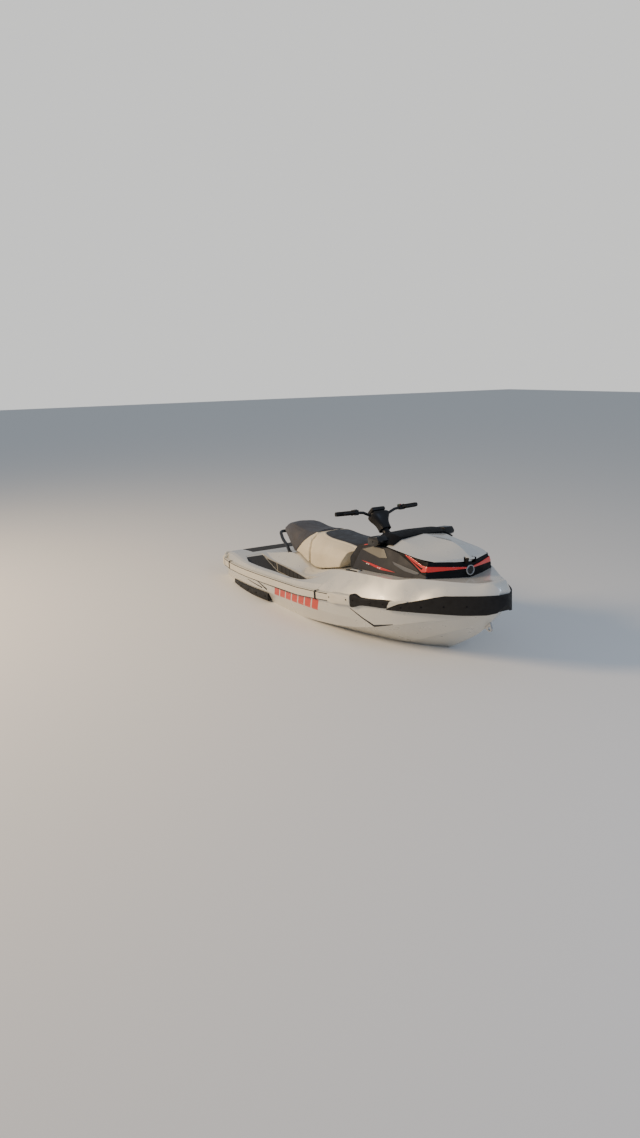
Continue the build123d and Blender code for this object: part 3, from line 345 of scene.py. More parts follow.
# Each line of painted groove shade is a dark band along its segment, tapering between its half widths
for (x0, z0, w0), (x1, z1, w1) in GROOVE_SHADE_LINES:
    run = math.hypot(x1 - x0, z1 - z0)
    way_x, way_z = (x1 - x0) / run, (z1 - z0) / run
    steps += [
        ("to_x", "SUBTRACT", "x", x0),
        ("to_z", "SUBTRACT", "z", z0 - DRAFT),
        ("rise", "MULTIPLY", "to_z", way_z),
        ("along", "MULTIPLY_ADD", "to_x", way_x, "rise"),
        ("level", "MULTIPLY", "to_z", way_x),
        ("off", "MULTIPLY_ADD", "to_x", -way_z, "level"),
        ("aside", "ABSOLUTE", "off"),
        ("half_wide", "MULTIPLY_ADD", "along", (w1 - w0) / run, w0),
        ("begun", "GREATER_THAN", "along", -LINE_END),
        ("going", "LESS_THAN", "along", run + LINE_END),
        ("near", "LESS_THAN", "aside", "half_wide"),
        ("stretch", "MULTIPLY", "begun", "going"),
        ("line", "MULTIPLY", "stretch", "near"),
        ("black", "MAXIMUM", "black", "line"),
    ]

hull_gelcoat = gelcoat("sprayed_hull_gelcoat", "#D6D4CB", "#C4C2B9")
tree = hull_gelcoat.node_tree
where = add_node(tree, "ShaderNodeTexCoord").outputs["Object"]
axes = add_node(tree, "ShaderNodeSeparateXYZ", {"Vector": where})
known = {"x": axes.outputs["X"], "z": axes.outputs["Z"], "black": 0.0}
for name, operation, *inputs in steps:
    values = {i: known.get(value, value) for i, value in enumerate(inputs)}
    known[name] = add_node(tree, "ShaderNodeMath", values, operation=operation).outputs[0]

# Below the waterline the gelcoat is painted darker, as the shade under the hull, in lengthwise streaks
under_shade = 1.0
# Columns: what is measured, its range, and the painted shade at each end of the range
for value, low, high, dark_at_low, dark_at_high in (
    (known["z"], UNDER_SHADE_TO, UNDER_SHADE_FROM, 1.0, 0.0),
    (UNDER_SHADE_STREAKS(tree), NOISE_LOW, NOISE_HIGH, 0.15, 0.75),
):
    ends = {"From Min": low, "From Max": high, "To Min": dark_at_low, "To Max": dark_at_high}
    darkening = add_node(tree, "ShaderNodeMapRange", {"Value": value, **ends})
    under_shade = add_node(tree, "ShaderNodeMath", {0: under_shade, 1: darkening}, operation="MULTIPLY")
shader = tree.nodes["Principled BSDF"]
base = shader.inputs["Base Color"].links[0].from_socket
# Over the gelcoat go the painted shade under the hull, the red blocks and the black painted groove shade
for mask, colour in ((under_shade, "#A9A69C"), (known["red"], "#CF3218"), (known["black"], "#17171A")):
    coat = {0: mask, MIX_UNDER: base, MIX_OVER: hex_colour(colour)}
    base = add_node(tree, "ShaderNodeMix", coat, data_type="RGBA").outputs[MIX_RESULT]
tree.links.new(base, shader.inputs["Base Color"])
dress(["hull_shell"], hull_gelcoat, group=CRISP)


# The engine, pump, nozzle, impeller and tow eyes are castings and machined stainless, bolted to the hull
# from inside. The reverse bucket is a moulding of glass-filled nylon, hung on the pump.


def metal(name, low, high, roughness, grain, depth=0.0001):
    """Metal with working marks: tints six grains wide, a sheen by the grain, and relief at an eighth."""
    return finish(
        name,
        {"Metallic": 1.0},
        tints=(pattern("Noise", grain * 6, 6.0), low, high),
        rough=(pattern("Noise", grain, 4.0), roughness - 0.08, roughness + 0.12),
        relief=[(pattern("Noise", grain / 8, 2.0), 0.3, depth)],
    )


def black_moulding(name, dark, light, roughness, grain, depth, scuff=0.0, gloss=0.32):
    """Textured black plastic or rubber: the mould's pebbled grain, slow shade changes and a few scuffs."""
    return finish(
        name,
        {"Specular IOR Level": gloss},
        tints=(pattern("Noise", 143, 6.0), dark, dark, light),
        rough=(pattern("Noise", 41.7, 5.0), roughness - 0.08, roughness + 0.1 + scuff),
        relief=[(pattern("Voronoi", grain), 0.5, depth)],
    )


# Sand casting leaves a dull, pitted skin
sand_cast = metal("sand_cast_aluminium", "#8C8D8E", "#A9AAAA", 0.46, 6.25, 0.0004)
# Turning and polishing leave a bright, even face
polished = metal("polished_stainless", "#A9ACAE", "#C6C9CB", 0.16, 16.7)
# Engine enamel is greyer, and as rough as the casting under it
enamelled = metal("painted_engine_casting", "#55585B", "#666A6D", 0.5, 8.33, 0.0004)
# Filled nylon is flat black with a fine spark-eroded grain
textured_black = black_moulding("textured_black_cover", "#161618", "#202022", 0.46, 0.909, 0.00015)
dress(["pump_housing", "steering_nozzle"], sand_cast)
dress(["impeller", "bow_eye", "stern_eyes"], polished)
dress(["engine_block"], enamelled)
dress(["reverse_bucket"], textured_black)


# The ride plate and the intake grate are anodised aluminium castings, held up under the hull by stainless
# button-head bolts with a hex socket.

PLATE_BOLTS = [(x, y) for x in (-1.66, -1.54, -1.42, -1.26) for y in (-0.15, 0.15)]
GRATE_BOLTS = [(-1.012, 0.0), (-0.65, 0.0)]
# Columns: share of the head's radius, and height over the seat as a share of it
BUTTON_HEAD = ((1.0, -0.15), (1.0, 0.18), (0.86, 0.42), (0.62, 0.55), (0.46, 0.58), (0.44, 0.20))
SOCKET_SHARE = 0.5
HEAD_POINTS = 24


def moulding(*names):
    """A lookup tree over the faces of rigid pieces."""
    points, faces = [], []
    for name in names:
        mesh = nodes[name].data
        start = len(points)
        points += [v.co.copy() for v in mesh.vertices]
        faces += [[start + i for i in face.vertices] for face in mesh.polygons]
    return BVHTree.FromPolygons(points, faces)


def new_piece(name, bm, material, body="hull"):
    """A piece from finished mesh work, riding on a body."""
    mesh = bpy.data.meshes.new(name)
    bm.to_mesh(mesh)
    bm.free()
    piece = bpy.data.objects.new(name, mesh)
    bpy.context.collection.objects.link(piece)
    piece.data.materials.append(material)
    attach(piece, body)
    return piece


def square_to(way):
    """Two directions square to a direction and to each other."""
    first = way.orthogonal().normalized()
    return first, way.cross(first)


def circle(centre, first, second, radius, count):
    """Points round a circle."""
    turns = [math.tau * i / count for i in range(count)]
    return [centre + (first * math.cos(t) + second * math.sin(t)) * radius for t in turns]


def skin(bm, rings, closed=False, foot=True, head=True):
    """Joins rings of points with faces, and closes the first and the last or joins them."""
    loops = [[bm.verts.new(point) for point in ring] for ring in rings]
    count = len(loops[0])
    following = loops[1:] + loops[:1] if closed else loops[1:]
    for low, high in zip(loops, following):
        for i in range(count):
            j = (i + 1) % count
            bm.faces.new((low[i], low[j], high[j], high[i]))
    if foot and not closed:
        bm.faces.new(loops[0][::-1])
    if head and not closed:
        bm.faces.new(loops[-1])


def add_screw(bm, at, normal, radius):
    """One button-head screw: a domed head with a hex socket."""
    normal = normal.normalized()
    first, second = square_to(normal)
    rings = []
    for share, high in BUTTON_HEAD:
        ring = []
        for i in range(HEAD_POINTS):
            turn = math.tau * i / HEAD_POINTS
            reach = share
            if share < SOCKET_SHARE:
                reach = share * math.cos(math.pi / 6) / math.cos(turn % (math.pi / 3) - math.pi / 6)
            out = first * math.cos(turn) + second * math.sin(turn)
            ring.append(at + out * (reach * radius) + normal * (high * radius))
        rings.append(ring)
    skin(bm, rings)


# Anodising keeps the cast skin, a little paler and smoother
anodised = metal("anodised_cast_aluminium", "#7F8183", "#989A9C", 0.4, 7.14, 0.0003)
dress(["ride_plate", "intake_grate"], anodised)
# Rolled stainless is bright, and its grain hardly shows
bare_screw = metal("stainless_button_head", "#A4A6A8", "#BEC0C2", 0.26, 1.11, 0.00005)
under_skin = moulding("ride_plate", "intake_grate")
bm = bmesh.new()
for x, y in PLATE_BOLTS + GRATE_BOLTS:
    hit, normal, _, _ = under_skin.ray_cast(Vector((x, y, -1.0)), Vector((0, 0, 1)))
    if hit is not None:
        add_screw(bm, hit, normal, 0.0075)
bmesh.ops.recalc_face_normals(bm, faces=bm.faces[:])
shade(new_piece("plate_bolts", bm, bare_screw, "hull"))


# The aft strakes, pods, arrow tips and stern caps are thick extruded vinyl, pushed over the joint of hull
# and deck. A thin black bead along the strake's top and foot paints the shade in the gaps there.

STRAKE_STATIONS = list(range(-1638, 440, 37)) + [438]
JOINT_HIGH, JOINT_RISE, JOINT_RISES_OVER = 412.0, 63.0, 1040.0
FOOT_OVER_JOINT, TOP_OVER_JOINT, TOP_FALLS = -1.0, 60.0, 0.02
BEAD_POINTS = 8
CLEAR_OF_SIDE = 3.0
SIDES = ((-1, "starboard"), (1, "port"))

# Extrusion draws the grain out along the piece. Sun leaves it a little chalky.
pale_vinyl = finish(
    "extruded_pale_vinyl",
    {},
    tints=(pattern("Noise", (138.9, 16.67, 16.67), 5.0), "#BEB9AA", "#CBC6B8", "#D6D1C4"),
    rough=(pattern("Noise", 33.3, 4.0), 0.38, 0.58),
    relief=[(pattern("Noise", (9.26, 1.111, 1.111), 2.0), 0.25, 0.0003)],
)
dress(["strake_pods", "stern_caps"], pale_vinyl, 0.006)
dress(["aft_strakes", "strake_tips"], pale_vinyl)


def upright(x, high, side=0):
    """A point amidships, from x and height above the keel in millimetres, the same for both sides."""
    return Vector((x / 1000, 0, high / 1000 - DRAFT))


def from_side(skin_of, point, side):
    """Where a level ray from abeam meets a moulding, beside a point."""
    start = Vector((point.x, side * CLEAR_OF_SIDE, point.z))
    hit, normal, _, _ = skin_of.ray_cast(start, Vector((0, -side, 0)))
    return hit, normal


def lay_bead(name, skin_of, line, radius):
    """A round bead on both sides along points in x and height above the keel, in millimetres."""
    for side, tag in SIDES:
        rings = []
        for x, high in line:
            hit, normal = from_side(skin_of, upright(x, high), side)
            if hit is None:
                continue
            out = Vector((0, normal.y, normal.z)).normalized()
            rings.append(circle(hit, out, Vector((1, 0, 0)).cross(out), radius, BEAD_POINTS))
        bm = bmesh.new()
        skin(bm, rings)
        bmesh.ops.recalc_face_normals(bm, faces=bm.faces[:])
        shade(new_piece(name + "_" + tag, bm, textured_black, "hull"))


strake_skin = moulding("aft_strakes", "strake_pods")
joint = [(x, JOINT_HIGH + max(0.0, x) * JOINT_RISE / JOINT_RISES_OVER) for x in STRAKE_STATIONS]
foot_line = [(x, high + FOOT_OVER_JOINT) for x, high in joint]
top_line = [(x, high + TOP_OVER_JOINT - max(0.0, x) * TOP_FALLS) for x, high in joint]
# The black beads are painted shade along the gaps at the strake's foot and top
lay_bead("strake_foot_shade_bead", strake_skin, foot_line, 0.0042)
lay_bead("strake_top_shade_bead", strake_skin, top_line, 0.0032)


# The bow bumper and fore strakes are black moulded rubber. The brackets and sponsons are filled nylon.
# All are screwed to the hull through button heads in black oxide, as the mirrors are to the hood.

# Rubber keeps the mould's pebbles, and pales where it meets docks
bumper_rubber = black_moulding("moulded_bumper_rubber", "#111112", "#1C1C1D", 0.62, 2.08, 0.0004, 0.08)
# Filled nylon comes out finer and a little shinier
filled_nylon = black_moulding("filled_black_nylon", "#141415", "#1E1E1F", 0.5, 1.11, 0.0002)
dress(["bow_bumper", "fore_strakes"], bumper_rubber)
dress(["strake_brackets", "sponsons"], filled_nylon, 0.0015)

# Hot blacking leaves a thin dark skin that still looks like metal
black_screw = metal("black_oxide_button_head", "#202022", "#2C2C2E", 0.42, 1.11, 0.00005)
# Columns: piece, what it is let into, head radius, body, and x and height above the keel of each screw
for name, held, radius, body, places in (
    ("sponson_screws", "sponsons", 0.0065, "hull", [(x, 282) for x in range(-1360, -639, 180)]),
    ("pod_screws", "strake_pods", 0.006, "hull", [(474, 472), (670, 482)]),
    ("strake_screws", "fore_strakes", 0.006, "hull", [(728, 484), (900, 490), (1010, 496)]),
    ("bracket_screws", "strake_brackets", 0.0045, "hull", [(-1442, 440), (278, 458)]),
    ("bumper_screws", "bow_bumper", 0.0065, "hull", [(1150, 488), (1290, 505), (1430, 520), (1560, 530)]),
    ("mirror_screws", "mirror_housings", 0.005, "hood", [(716, 890)]),
):
    held_skin = moulding(held)
    bm = bmesh.new()
    for x, high in places:
        for side, _ in SIDES:
            hit, normal = from_side(held_skin, upright(x, high), side)
            if hit is not None:
                add_screw(bm, hit, normal, radius)
    bmesh.ops.recalc_face_normals(bm, faces=bm.faces[:])
    shade(new_piece(name, bm, black_screw, body))


# The mooring cleats are moulded: a black C-shaped bezel stands a few millimetres proud of the fore deck on
# each side, screwed from below, with a pale sprung tab in it.

# Outlines are x and distance from the middle, in millimetres
BEZEL = [
    (455, 402), (476, 378), (600, 378), (592, 395), (488, 395), (476, 407),
    (476, 419), (486, 429), (600, 429), (614, 446), (474, 446), (455, 426),
]
TAB = [(498, 400), (606, 400), (612, 424), (498, 424), (490, 412)]
CLEAR_OF_DECK = 2.0
RIM_OVER = math.radians(50)
deck_skin = moulding("fore_deck")


def level(x, y, side):
    """A point at the waterline, from x and distance off the middle in millimetres."""
    return Vector((x / 1000, side * y / 1000, 0))


def lay_sheet(
    name, outline, ray, material, slot, thick=0.004,
    sink=0.002, fine=0.009, rim=0.0012, flat=upright, cuts=7,
):
    """A thin sheet on both sides of the craft, cut fine from its flat outline and laid on a moulding.

    The ray takes a point and a side, and gives where that point comes to lie and the normal there."""
    for side, tag in SIDES:
        bm = bmesh.new()
        bm.faces.new([bm.verts.new(flat(a, b, side)) for a, b in outline])
        bmesh.ops.triangulate(bm, faces=bm.faces[:], ngon_method="EAR_CLIP")
        for _ in range(cuts):
            long_edges = [e for e in bm.edges if e.calc_length() > fine]
            if not long_edges:
                break
            bmesh.ops.subdivide_edges(bm, edges=long_edges, cuts=1)
            bmesh.ops.triangulate(bm, faces=[f for f in bm.faces if len(f.verts) > 3])
        lost = []
        outward = Vector()
        for v in bm.verts:
            hit, normal = ray(v.co, side)
            if hit is None:
                lost.append(v)
                continue
            v.co = hit - normal * sink
            outward += normal
        bmesh.ops.delete(bm, geom=lost, context="VERTS")
        bm.normal_update()
        bmesh.ops.recalc_face_normals(bm, faces=bm.faces[:])
        if sum(f.normal.dot(outward) for f in bm.faces) < 0:
            bmesh.ops.reverse_faces(bm, faces=bm.faces[:])
        piece = new_piece(name + "_" + tag, bm, material, "hull")
        solid = piece.modifiers.new("thickness", "SOLIDIFY")
        solid.thickness = thick + sink
        solid.offset = 1.0
        if rim:
            edge = piece.modifiers.new("edge", "BEVEL")
            edge.width = rim
            edge.segments = 2
            edge.angle_limit = RIM_OVER
        shade(piece)


def from_above(point, side):
    """Where a ray straight down over a point meets the fore deck."""
    hit, normal, _, _ = deck_skin.ray_cast(Vector((point.x, point.y, CLEAR_OF_DECK)), Vector((0, 0, -1)))
    return hit, normal


on_deck = {"fine": 0.008, "flat": level, "cuts": 5}
lay_sheet("cleat_bezel", BEZEL, from_above, textured_black, "black_plastic", 0.006, **on_deck)
lay_sheet("cleat_tab", TAB, from_above, pale_vinyl, "pale_vinyl", 0.007, **on_deck)


# The footwells and the platform are covered with glued foam mats, and two lengths line each footwell's
# inner wall. Long parallel grooves are cut in the foam so that bare feet hold.

GROOVE_PITCH = 0.016
GROOVE_FOOT, GROOVE_LIP = 0.0006, 0.0022
FOAM_CELLS = pattern("Noise", 0.714, 2.0)
# The wall's half breadth at stations along x
WELL_INNER = (
    (-1.345, 0.262), (-1.110, 0.300), (-0.720, 0.354), (-0.330, 0.416), (-0.060, 0.472), (0.085, 0.498),
)
WELL_LOOK_FROM, WELL_LOOK_FAR = 0.012, 0.3
# Outlines are x and height above the keel, in millimetres
FORE_MAT = [
    (-872, 434), (-884, 503), (-560, 502), (-330, 499), (-60, 497), (4, 497), (-16, 466), (-66, 434),
]
AFT_MAT = [(-902, 438), (-914, 504), (-1180, 504)]


def grooves(tree):
    """Nothing in a groove, rising to one on the foam beside it."""
    where = add_node(tree, "ShaderNodeTexCoord").outputs["Object"]
    across = add_node(tree, "ShaderNodeSeparateXYZ", {"Vector": where}).outputs["Y"]
    wave = add_node(tree, "ShaderNodeMath", {0: across, 1: GROOVE_PITCH / 2}, operation="PINGPONG")
    lips = {"Value": wave, "From Min": GROOVE_FOOT, "From Max": GROOVE_LIP}
    return add_node(tree, "ShaderNodeMapRange", lips).outputs[0]


def foam_cells_and_groove_shade(tree):
    """Foam cells give two fifths of the tint, and painted shade in the grooves three fifths."""
    # The grooves are painted dark, as the shade that falls in them
    cut = add_node(tree, "ShaderNodeMath", {0: grooves(tree), 1: 0.6}, operation="MULTIPLY")
    cells = {0: FOAM_CELLS(tree), 1: 0.4, 2: cut}
    return add_node(tree, "ShaderNodeMath", cells, operation="MULTIPLY_ADD").outputs[0]


def from_well(point, side):
    """Where a level ray out of the footwell meets its inner wall, beside a point."""
    half = WELL_INNER[-1][1]
    for (x0, y0), (x1, y1) in zip(WELL_INNER, WELL_INNER[1:]):
        if point.x <= x1:
            half = y0 + (y1 - y0) * (point.x - x0) / (x1 - x0)
            break
    start = Vector((point.x, side * (half + WELL_LOOK_FROM), point.z))
    hit, normal, _, _ = well_skin.ray_cast(start, Vector((0, -side, 0)), WELL_LOOK_FAR)
    return hit, normal


# Cut foam is dull all over, and its grooves are painted darker than its face, as the shade in them
deck_foam = finish(
    "grooved_deck_foam",
    {"Roughness": 0.9},
    tints=(foam_cells_and_groove_shade, "#0E0F11", "#26282B", "#3B3E43"),
    relief=[(grooves, 1.0, 0.0016), (FOAM_CELLS, 0.5, 0.0003)],
)
dress(["footwell_mats", "platform_mat"], deck_foam)
well_skin = moulding("aft_deck", "seat_pedestal")
for name, outline in (("wall_mat_fore", FORE_MAT), ("wall_mat_aft", AFT_MAT)):
    lay_sheet(name, outline, from_well, deck_foam, "deck_mat", sink=0.001, fine=0.025, rim=0.0)


# The console is a cluster of screwed plastic covers round the storage bin: textured core and glovebox lid,
# satin nose band and visor, gloss pods and mirrors, and graphite side panels. The bin is rotomoulded.

# Rotomoulding leaves a soft, coarse skin
bin_skin = black_moulding("rotomoulded_bin", "#202021", "#2C2C2E", 0.66, 3.33, 0.0003)
# Satin covers drink the light, so that the nose reads as one dark shape
satin_black = black_moulding("satin_black_cover", "#0B0B0D", "#131315", 0.56, 1.11, 0.0001, gloss=0.14)
# A polished mould gives a wet edge to the pods, with faint ripples
gloss_black = finish(
    "polished_black_cover",
    {"Specular IOR Level": 0.35, "Coat Weight": 0.25, "Coat Roughness": 0.06},
    tints=(pattern("Noise", 200, 3.0), "#0C0C0E", "#141417"),
    rough=(pattern("Noise", 62.5, 5.0), 0.24, 0.4),
    relief=[(pattern("Noise", 2.63, 1.0), 0.1, 0.0002)],
)
# Pearl in the graphite is about 0.05 mm, drawn ten times as coarse so that it shows
graphite = finish(
    "satin_graphite_panel",
    {"Specular IOR Level": 0.24},
    tints=(pattern("Voronoi", 0.526), "#343539", "#26272A"),
    rough=(pattern("Noise", 83.3, 5.0), 0.5, 0.66),
    relief=[(pattern("Noise", 1.43, 1.0), 0.12, 0.0002)],
)
# Silvering behind glass mirrors the sky, with faint smears
mirror_silver = finish(
    "silvered_glass",
    {"Base Color": hex_colour("#DDE2E4"), "Metallic": 1.0},
    rough=(pattern("Noise", 25, 4.0), 0.02, 0.07),
)
dress(["console_core", "glovebox_lid"], textured_black, 0.004)
dress(["storage_bin"], bin_skin)
dress(["visor"], satin_black)
dress(["nose_band"], satin_black, 0.002)
dress(["mirror_housings", "gauge_pod"], gloss_black, 0.010)
dress(["console_side_panels"], graphite, 0.003)
dress(["mirror_glass"], mirror_silver)


# Thin moulded trim is taped to each side panel: a red blade with two pairs of plain pale dashes, and a
# slate blade below. On the shoulder a taupe sheet is painted light, where the lamp falls on that facet of
# the graphite. A red strip lies along each upper side of the core.

# Outlines are x and height above the keel, in millimetres
SHOULDER = [(520, 806), (662, 842), (744, 842), (800, 836), (846, 778), (760, 772), (640, 788)]
RED_BLADE = [(533, 727), (640, 722), (742, 714), (960, 690), (800, 690), (700, 702)]
LOWER_BLADE = [(905, 762), (1003, 745), (1190, 717), (1186, 706), (1150, 702), (1040, 712), (930, 742)]
CORE_STRIP = [(470, 824), (610, 852), (628, 860), (482, 833)]
MARKS_AT = ((604, 707), (628, 705), (752, 697), (776, 696))
MARK = ((0, 0), (12, 0), (20, 8), (8, 8))
on_panel = partial(from_side, moulding("console_side_panels", "nose_band"))
on_core = partial(from_side, moulding("console_core"))

# Painted light: taupe over the same pearl, where the shoulder facet of the graphite is lit; duller than the
# graphite round it
taupe = finish(
    "taupe_painted_light_panel",
    {"Roughness": 0.48, "Metallic": 0.15},
    tints=(pattern("Voronoi", 0.667), "#7A7568", "#68645A"),
    relief=[(pattern("Noise", 1.67, 1.0), 0.12, 0.0002)],
)
# Red lacquer under a clear coat catches a bright line on its upper edge
red_trim = finish(
    "sprayed_red_trim",
    {"Roughness": 0.3, "Coat Weight": 0.5, "Coat Roughness": 0.06},
    tints=(pattern("Noise", 50, 4.0), "#B31A17", "#CB2520"),
    relief=[(pattern("Noise", 2.0, 1.0), 0.1, 0.0002)],
)
# Pad-printed ink is flat, and thin in places
pale_mark = finish(
    "pale_printed_mark",
    {"Roughness": 0.4},
    tints=(pattern("Noise", 20, 4.0), "#DAD7D0", "#E9E6DF"),
)
# Slate paint has a fine metal grain in it, and a low sheen
slate = finish(
    "satin_slate_trim",
    {"Roughness": 0.42, "Metallic": 0.2},
    tints=(pattern("Voronoi", 0.667), "#52565D", "#3E4248"),
)
# The shoulder sheet paints the light that falls on that facet
lay_sheet("shoulder_painted_light", SHOULDER, on_panel, taupe, "grey_panel")
lay_sheet("red_blade", RED_BLADE, on_panel, red_trim, "grey_panel")
for i, (x, high) in enumerate(MARKS_AT):
    mark = [(x + right_by, high + up_by) for right_by, up_by in MARK]
    lay_sheet("blade_mark_%d" % i, mark, on_panel, pale_mark, "grey_panel", 0.005)
lay_sheet("lower_blade", LOWER_BLADE, on_panel, slate, "grey_panel")
lay_sheet("core_strip", CORE_STRIP, on_core, red_trim, "black_plastic")


# The nose carries a V-shaped trim on each side: a ribbed red acrylic reflector in a black surround, clipped
# on the nose band, with a black inset in the V.

# Outlines are x and height above the keel, in millimetres
SURROUND = [
    (962, 856), (1030, 846), (1062, 838), (1230, 772), (1376, 752), (1376, 716), (1230, 708), (1196, 718),
]
REFLECTOR = [(1000, 835), (1040, 828), (1215, 768), (1262, 765), (1366, 747), (1366, 737), (1215, 725)]
INSET = [(1062, 806), (1196, 757), (1222, 751), (1212, 740), (1190, 748)]
RIB_HALF_PITCH = 0.003


def ribs(tree):
    """Slanting ribs, rising from nothing to half their pitch."""
    where = add_node(tree, "ShaderNodeTexCoord").outputs["Object"]
    axes = add_node(tree, "ShaderNodeSeparateXYZ", {"Vector": where})
    along = add_node(tree, "ShaderNodeMath", {0: axes.outputs["X"], 1: axes.outputs["Z"]}, operation="ADD")
    return add_node(tree, "ShaderNodeMath", {0: along, 1: RIB_HALF_PITCH}, operation="PINGPONG").outputs[0]


def rib_painted_shade(tree):
    """Painted shade across the ribs: dark in their hollows and pale on their crests, from nothing to one.
    """
    rise = {"Value": ribs(tree), "From Max": RIB_HALF_PITCH}
    return add_node(tree, "ShaderNodeMapRange", rise).outputs[0]


# The red is painted with a faint glow, as if lit from within, where acrylic prisms throw light back
reflector = finish(
    "ribbed_red_reflector_painted_glow",
    {
        "Roughness": 0.24,
        "Coat Weight": 0.6,
        "Coat Roughness": 0.06,
        # The emission is a painted glow
        "Emission Color": hex_colour("#D81E14"),
        "Emission Strength": 0.12,
    },
    # The tint is painted shade, dark in the rib hollows
    tints=(rib_painted_shade, "#A81210", "#DB2A1D"),
    relief=[(ribs, 0.5, 0.0006)],
)
lay_sheet("reflector_surround", SURROUND, on_panel, satin_black, "black_plastic")
lay_sheet("reflector_arm", REFLECTOR, on_panel, reflector, "black_plastic", 0.008)
lay_sheet("reflector_inset", INSET, on_panel, satin_black, "black_plastic", 0.010)


# The badge's place at the nose holds a plain domed boss in a satin chrome ring, both pressed into the nose
# band. They are turned discs and carry no mark.

BADGE_HIGH = 0.724
BADGE_FACES = Vector((1, 0, 0.02))
BADGE_SUNK = 0.004
DISC_POINTS = 48
# Rows are radius and height
RING_PROFILE = ((0.036, -0.004), (0.036, 0.006), (0.034, 0.008), (0.030, 0.008), (0.028, 0.005))
BOSS_PROFILE = ((0.0275, 0.0), (0.0275, 0.0055), (0.024, 0.0072), (0.016, 0.0084), (0.007, 0.0089))


def disc(name, at, normal, profile, material, body="hull"):
    """A turned disc: profile rows are radius and height."""
    normal = normal.normalized()
    first, second = square_to(normal)
    bm = bmesh.new()
    turned = [circle(at + normal * high, first, second, radius, DISC_POINTS) for radius, high in profile]
    skin(bm, turned)
    bmesh.ops.recalc_face_normals(bm, faces=bm.faces[:])
    shade(new_piece(name, bm, material, body))


# Chrome on plastic is bright, but softer than on steel
satin_chrome = finish(
    "satin_chrome_on_abs",
    {"Base Color": hex_colour("#B4B7BA"), "Metallic": 1.0},
    rough=(pattern("Noise", 3.33, 4.0), 0.22, 0.36),
)
hit, _, _, _ = moulding("nose_band").ray_cast(Vector((2.5, 0, BADGE_HIGH - DRAFT)), Vector((-1, 0, 0)))
badge_at = hit - BADGE_FACES * BADGE_SUNK
disc("badge_ring", badge_at, BADGE_FACES, RING_PROFILE, satin_chrome)
disc("badge_boss", badge_at, BADGE_FACES, BOSS_PROFILE, gloss_black)


# The handlebar and column are steel tube under black powder coat. They turn in a moulded neck, and a soft
# edged black shroud, open below, hides the clamp under a padded bar centre.

HEAD_AT = Vector((0.400, 0.0, 0.868 - DRAFT))
HEAD_RAKE = math.radians(38.0)
HEAD_WAY = Vector((-math.sin(HEAD_RAKE), 0.0, math.cos(HEAD_RAKE)))
HEAD_FORE = Vector((math.cos(HEAD_RAKE), 0.0, math.sin(HEAD_RAKE)))
# Columns: distance up the head's axis, half length fore, half length aft, half breadth
SHROUD = (
    (0.042, 0.046, 0.046, 0.048),
    (0.075, 0.044, 0.046, 0.047),
    (0.115, 0.046, 0.054, 0.054),
    (0.150, 0.058, 0.064, 0.078),
    (0.178, 0.064, 0.068, 0.092),
    (0.197, 0.058, 0.058, 0.086),
)
SHROUD_WALL = 0.0025
SHROUD_CORNER = 3.2
SHROUD_POINTS = 24


def shroud_ring(centre, fore, aft, half):
    """A ring of points on a rounded rectangle across the head's axis."""
    ring = []
    for i in range(SHROUD_POINTS):
        turn = math.tau * i / SHROUD_POINTS
        c, s = math.cos(turn), math.sin(turn)
        reach = (abs(c) ** SHROUD_CORNER + abs(s) ** SHROUD_CORNER) ** (-1.0 / SHROUD_CORNER)
        across = Vector((0, s * reach * half, 0))
        ring.append(centre + across + HEAD_FORE * (c * reach * (fore if c > 0 else aft)))
    return ring


# Powder coat flows out smooth, with a slight gloss
coated_steel = black_moulding("powder_coated_steel", "#18181A", "#222224", 0.34, 0.625, 0.00008)
dress(["handlebar", "steering_column"], coated_steel)
dress(["bar_pad"], textured_black, 0.014)
dress(["steering_neck", "control_levers"], textured_black)
bm = bmesh.new()
shroud_rings = [shroud_ring(HEAD_AT + HEAD_WAY * rise, *reach) for rise, *reach in SHROUD]
skin(bm, shroud_rings, foot=False)
bmesh.ops.recalc_face_normals(bm, faces=bm.faces[:])
shroud = new_piece("bar_shroud", bm, textured_black, "steering")
smooth = shroud.modifiers.new("smooth", "SUBSURF")
smooth.levels = smooth.render_levels = 1
wall = shroud.modifiers.new("wall", "SOLIDIFY")
wall.thickness = SHROUD_WALL
wall.offset = -1.0
shade(shroud)


# The grips are soft rubber sleeves, moulded in one and pushed on to the bar up to their flanges.
# Sixteen raised rings on each give the palm its hold.

# The bar under each grip runs between these two points from the bar's middle, on the port side
GRIP_INNER, GRIP_OUTER = (-0.004, 0.232, 0.048), (-0.020, 0.388, 0.050)
BAR_UP = 0.175
RING_COUNT, RING_START, RING_PITCH = 16, 0.034, 0.0072
RING_RADIUS, RING_THICK = 0.0168, 0.0017
RING_POINTS, RING_SIDES = 28, 8


def add_ring(bm, centre, way):
    """A ring of round section about the bar."""
    first, second = square_to(way)
    rings = []
    for i in range(RING_POINTS):
        turn = math.tau * i / RING_POINTS
        out = first * math.cos(turn) + second * math.sin(turn)
        rings.append(circle(centre + out * RING_RADIUS, out, way, RING_THICK, RING_SIDES))
    skin(bm, rings, closed=True)


# Soft rubber has no shine, and a fine pebble from its mould
grip_rubber = black_moulding("soft_grip_rubber", "#121213", "#1C1C1D", 0.74, 1.43, 0.0003)
dress(["grips"], grip_rubber)
bar_mid = HEAD_AT + HEAD_WAY * BAR_UP
bm = bmesh.new()
for side, _ in SIDES:
    inner, outer = (bar_mid + Vector((x, y * side, z)) for x, y, z in (GRIP_INNER, GRIP_OUTER))
    way = (outer - inner).normalized()
    for i in range(RING_COUNT):
        add_ring(bm, inner + way * (RING_START + RING_PITCH * i), way)
bmesh.ops.recalc_face_normals(bm, faces=bm.faces[:])
new_piece("grip_rings", bm, grip_rubber, "steering")


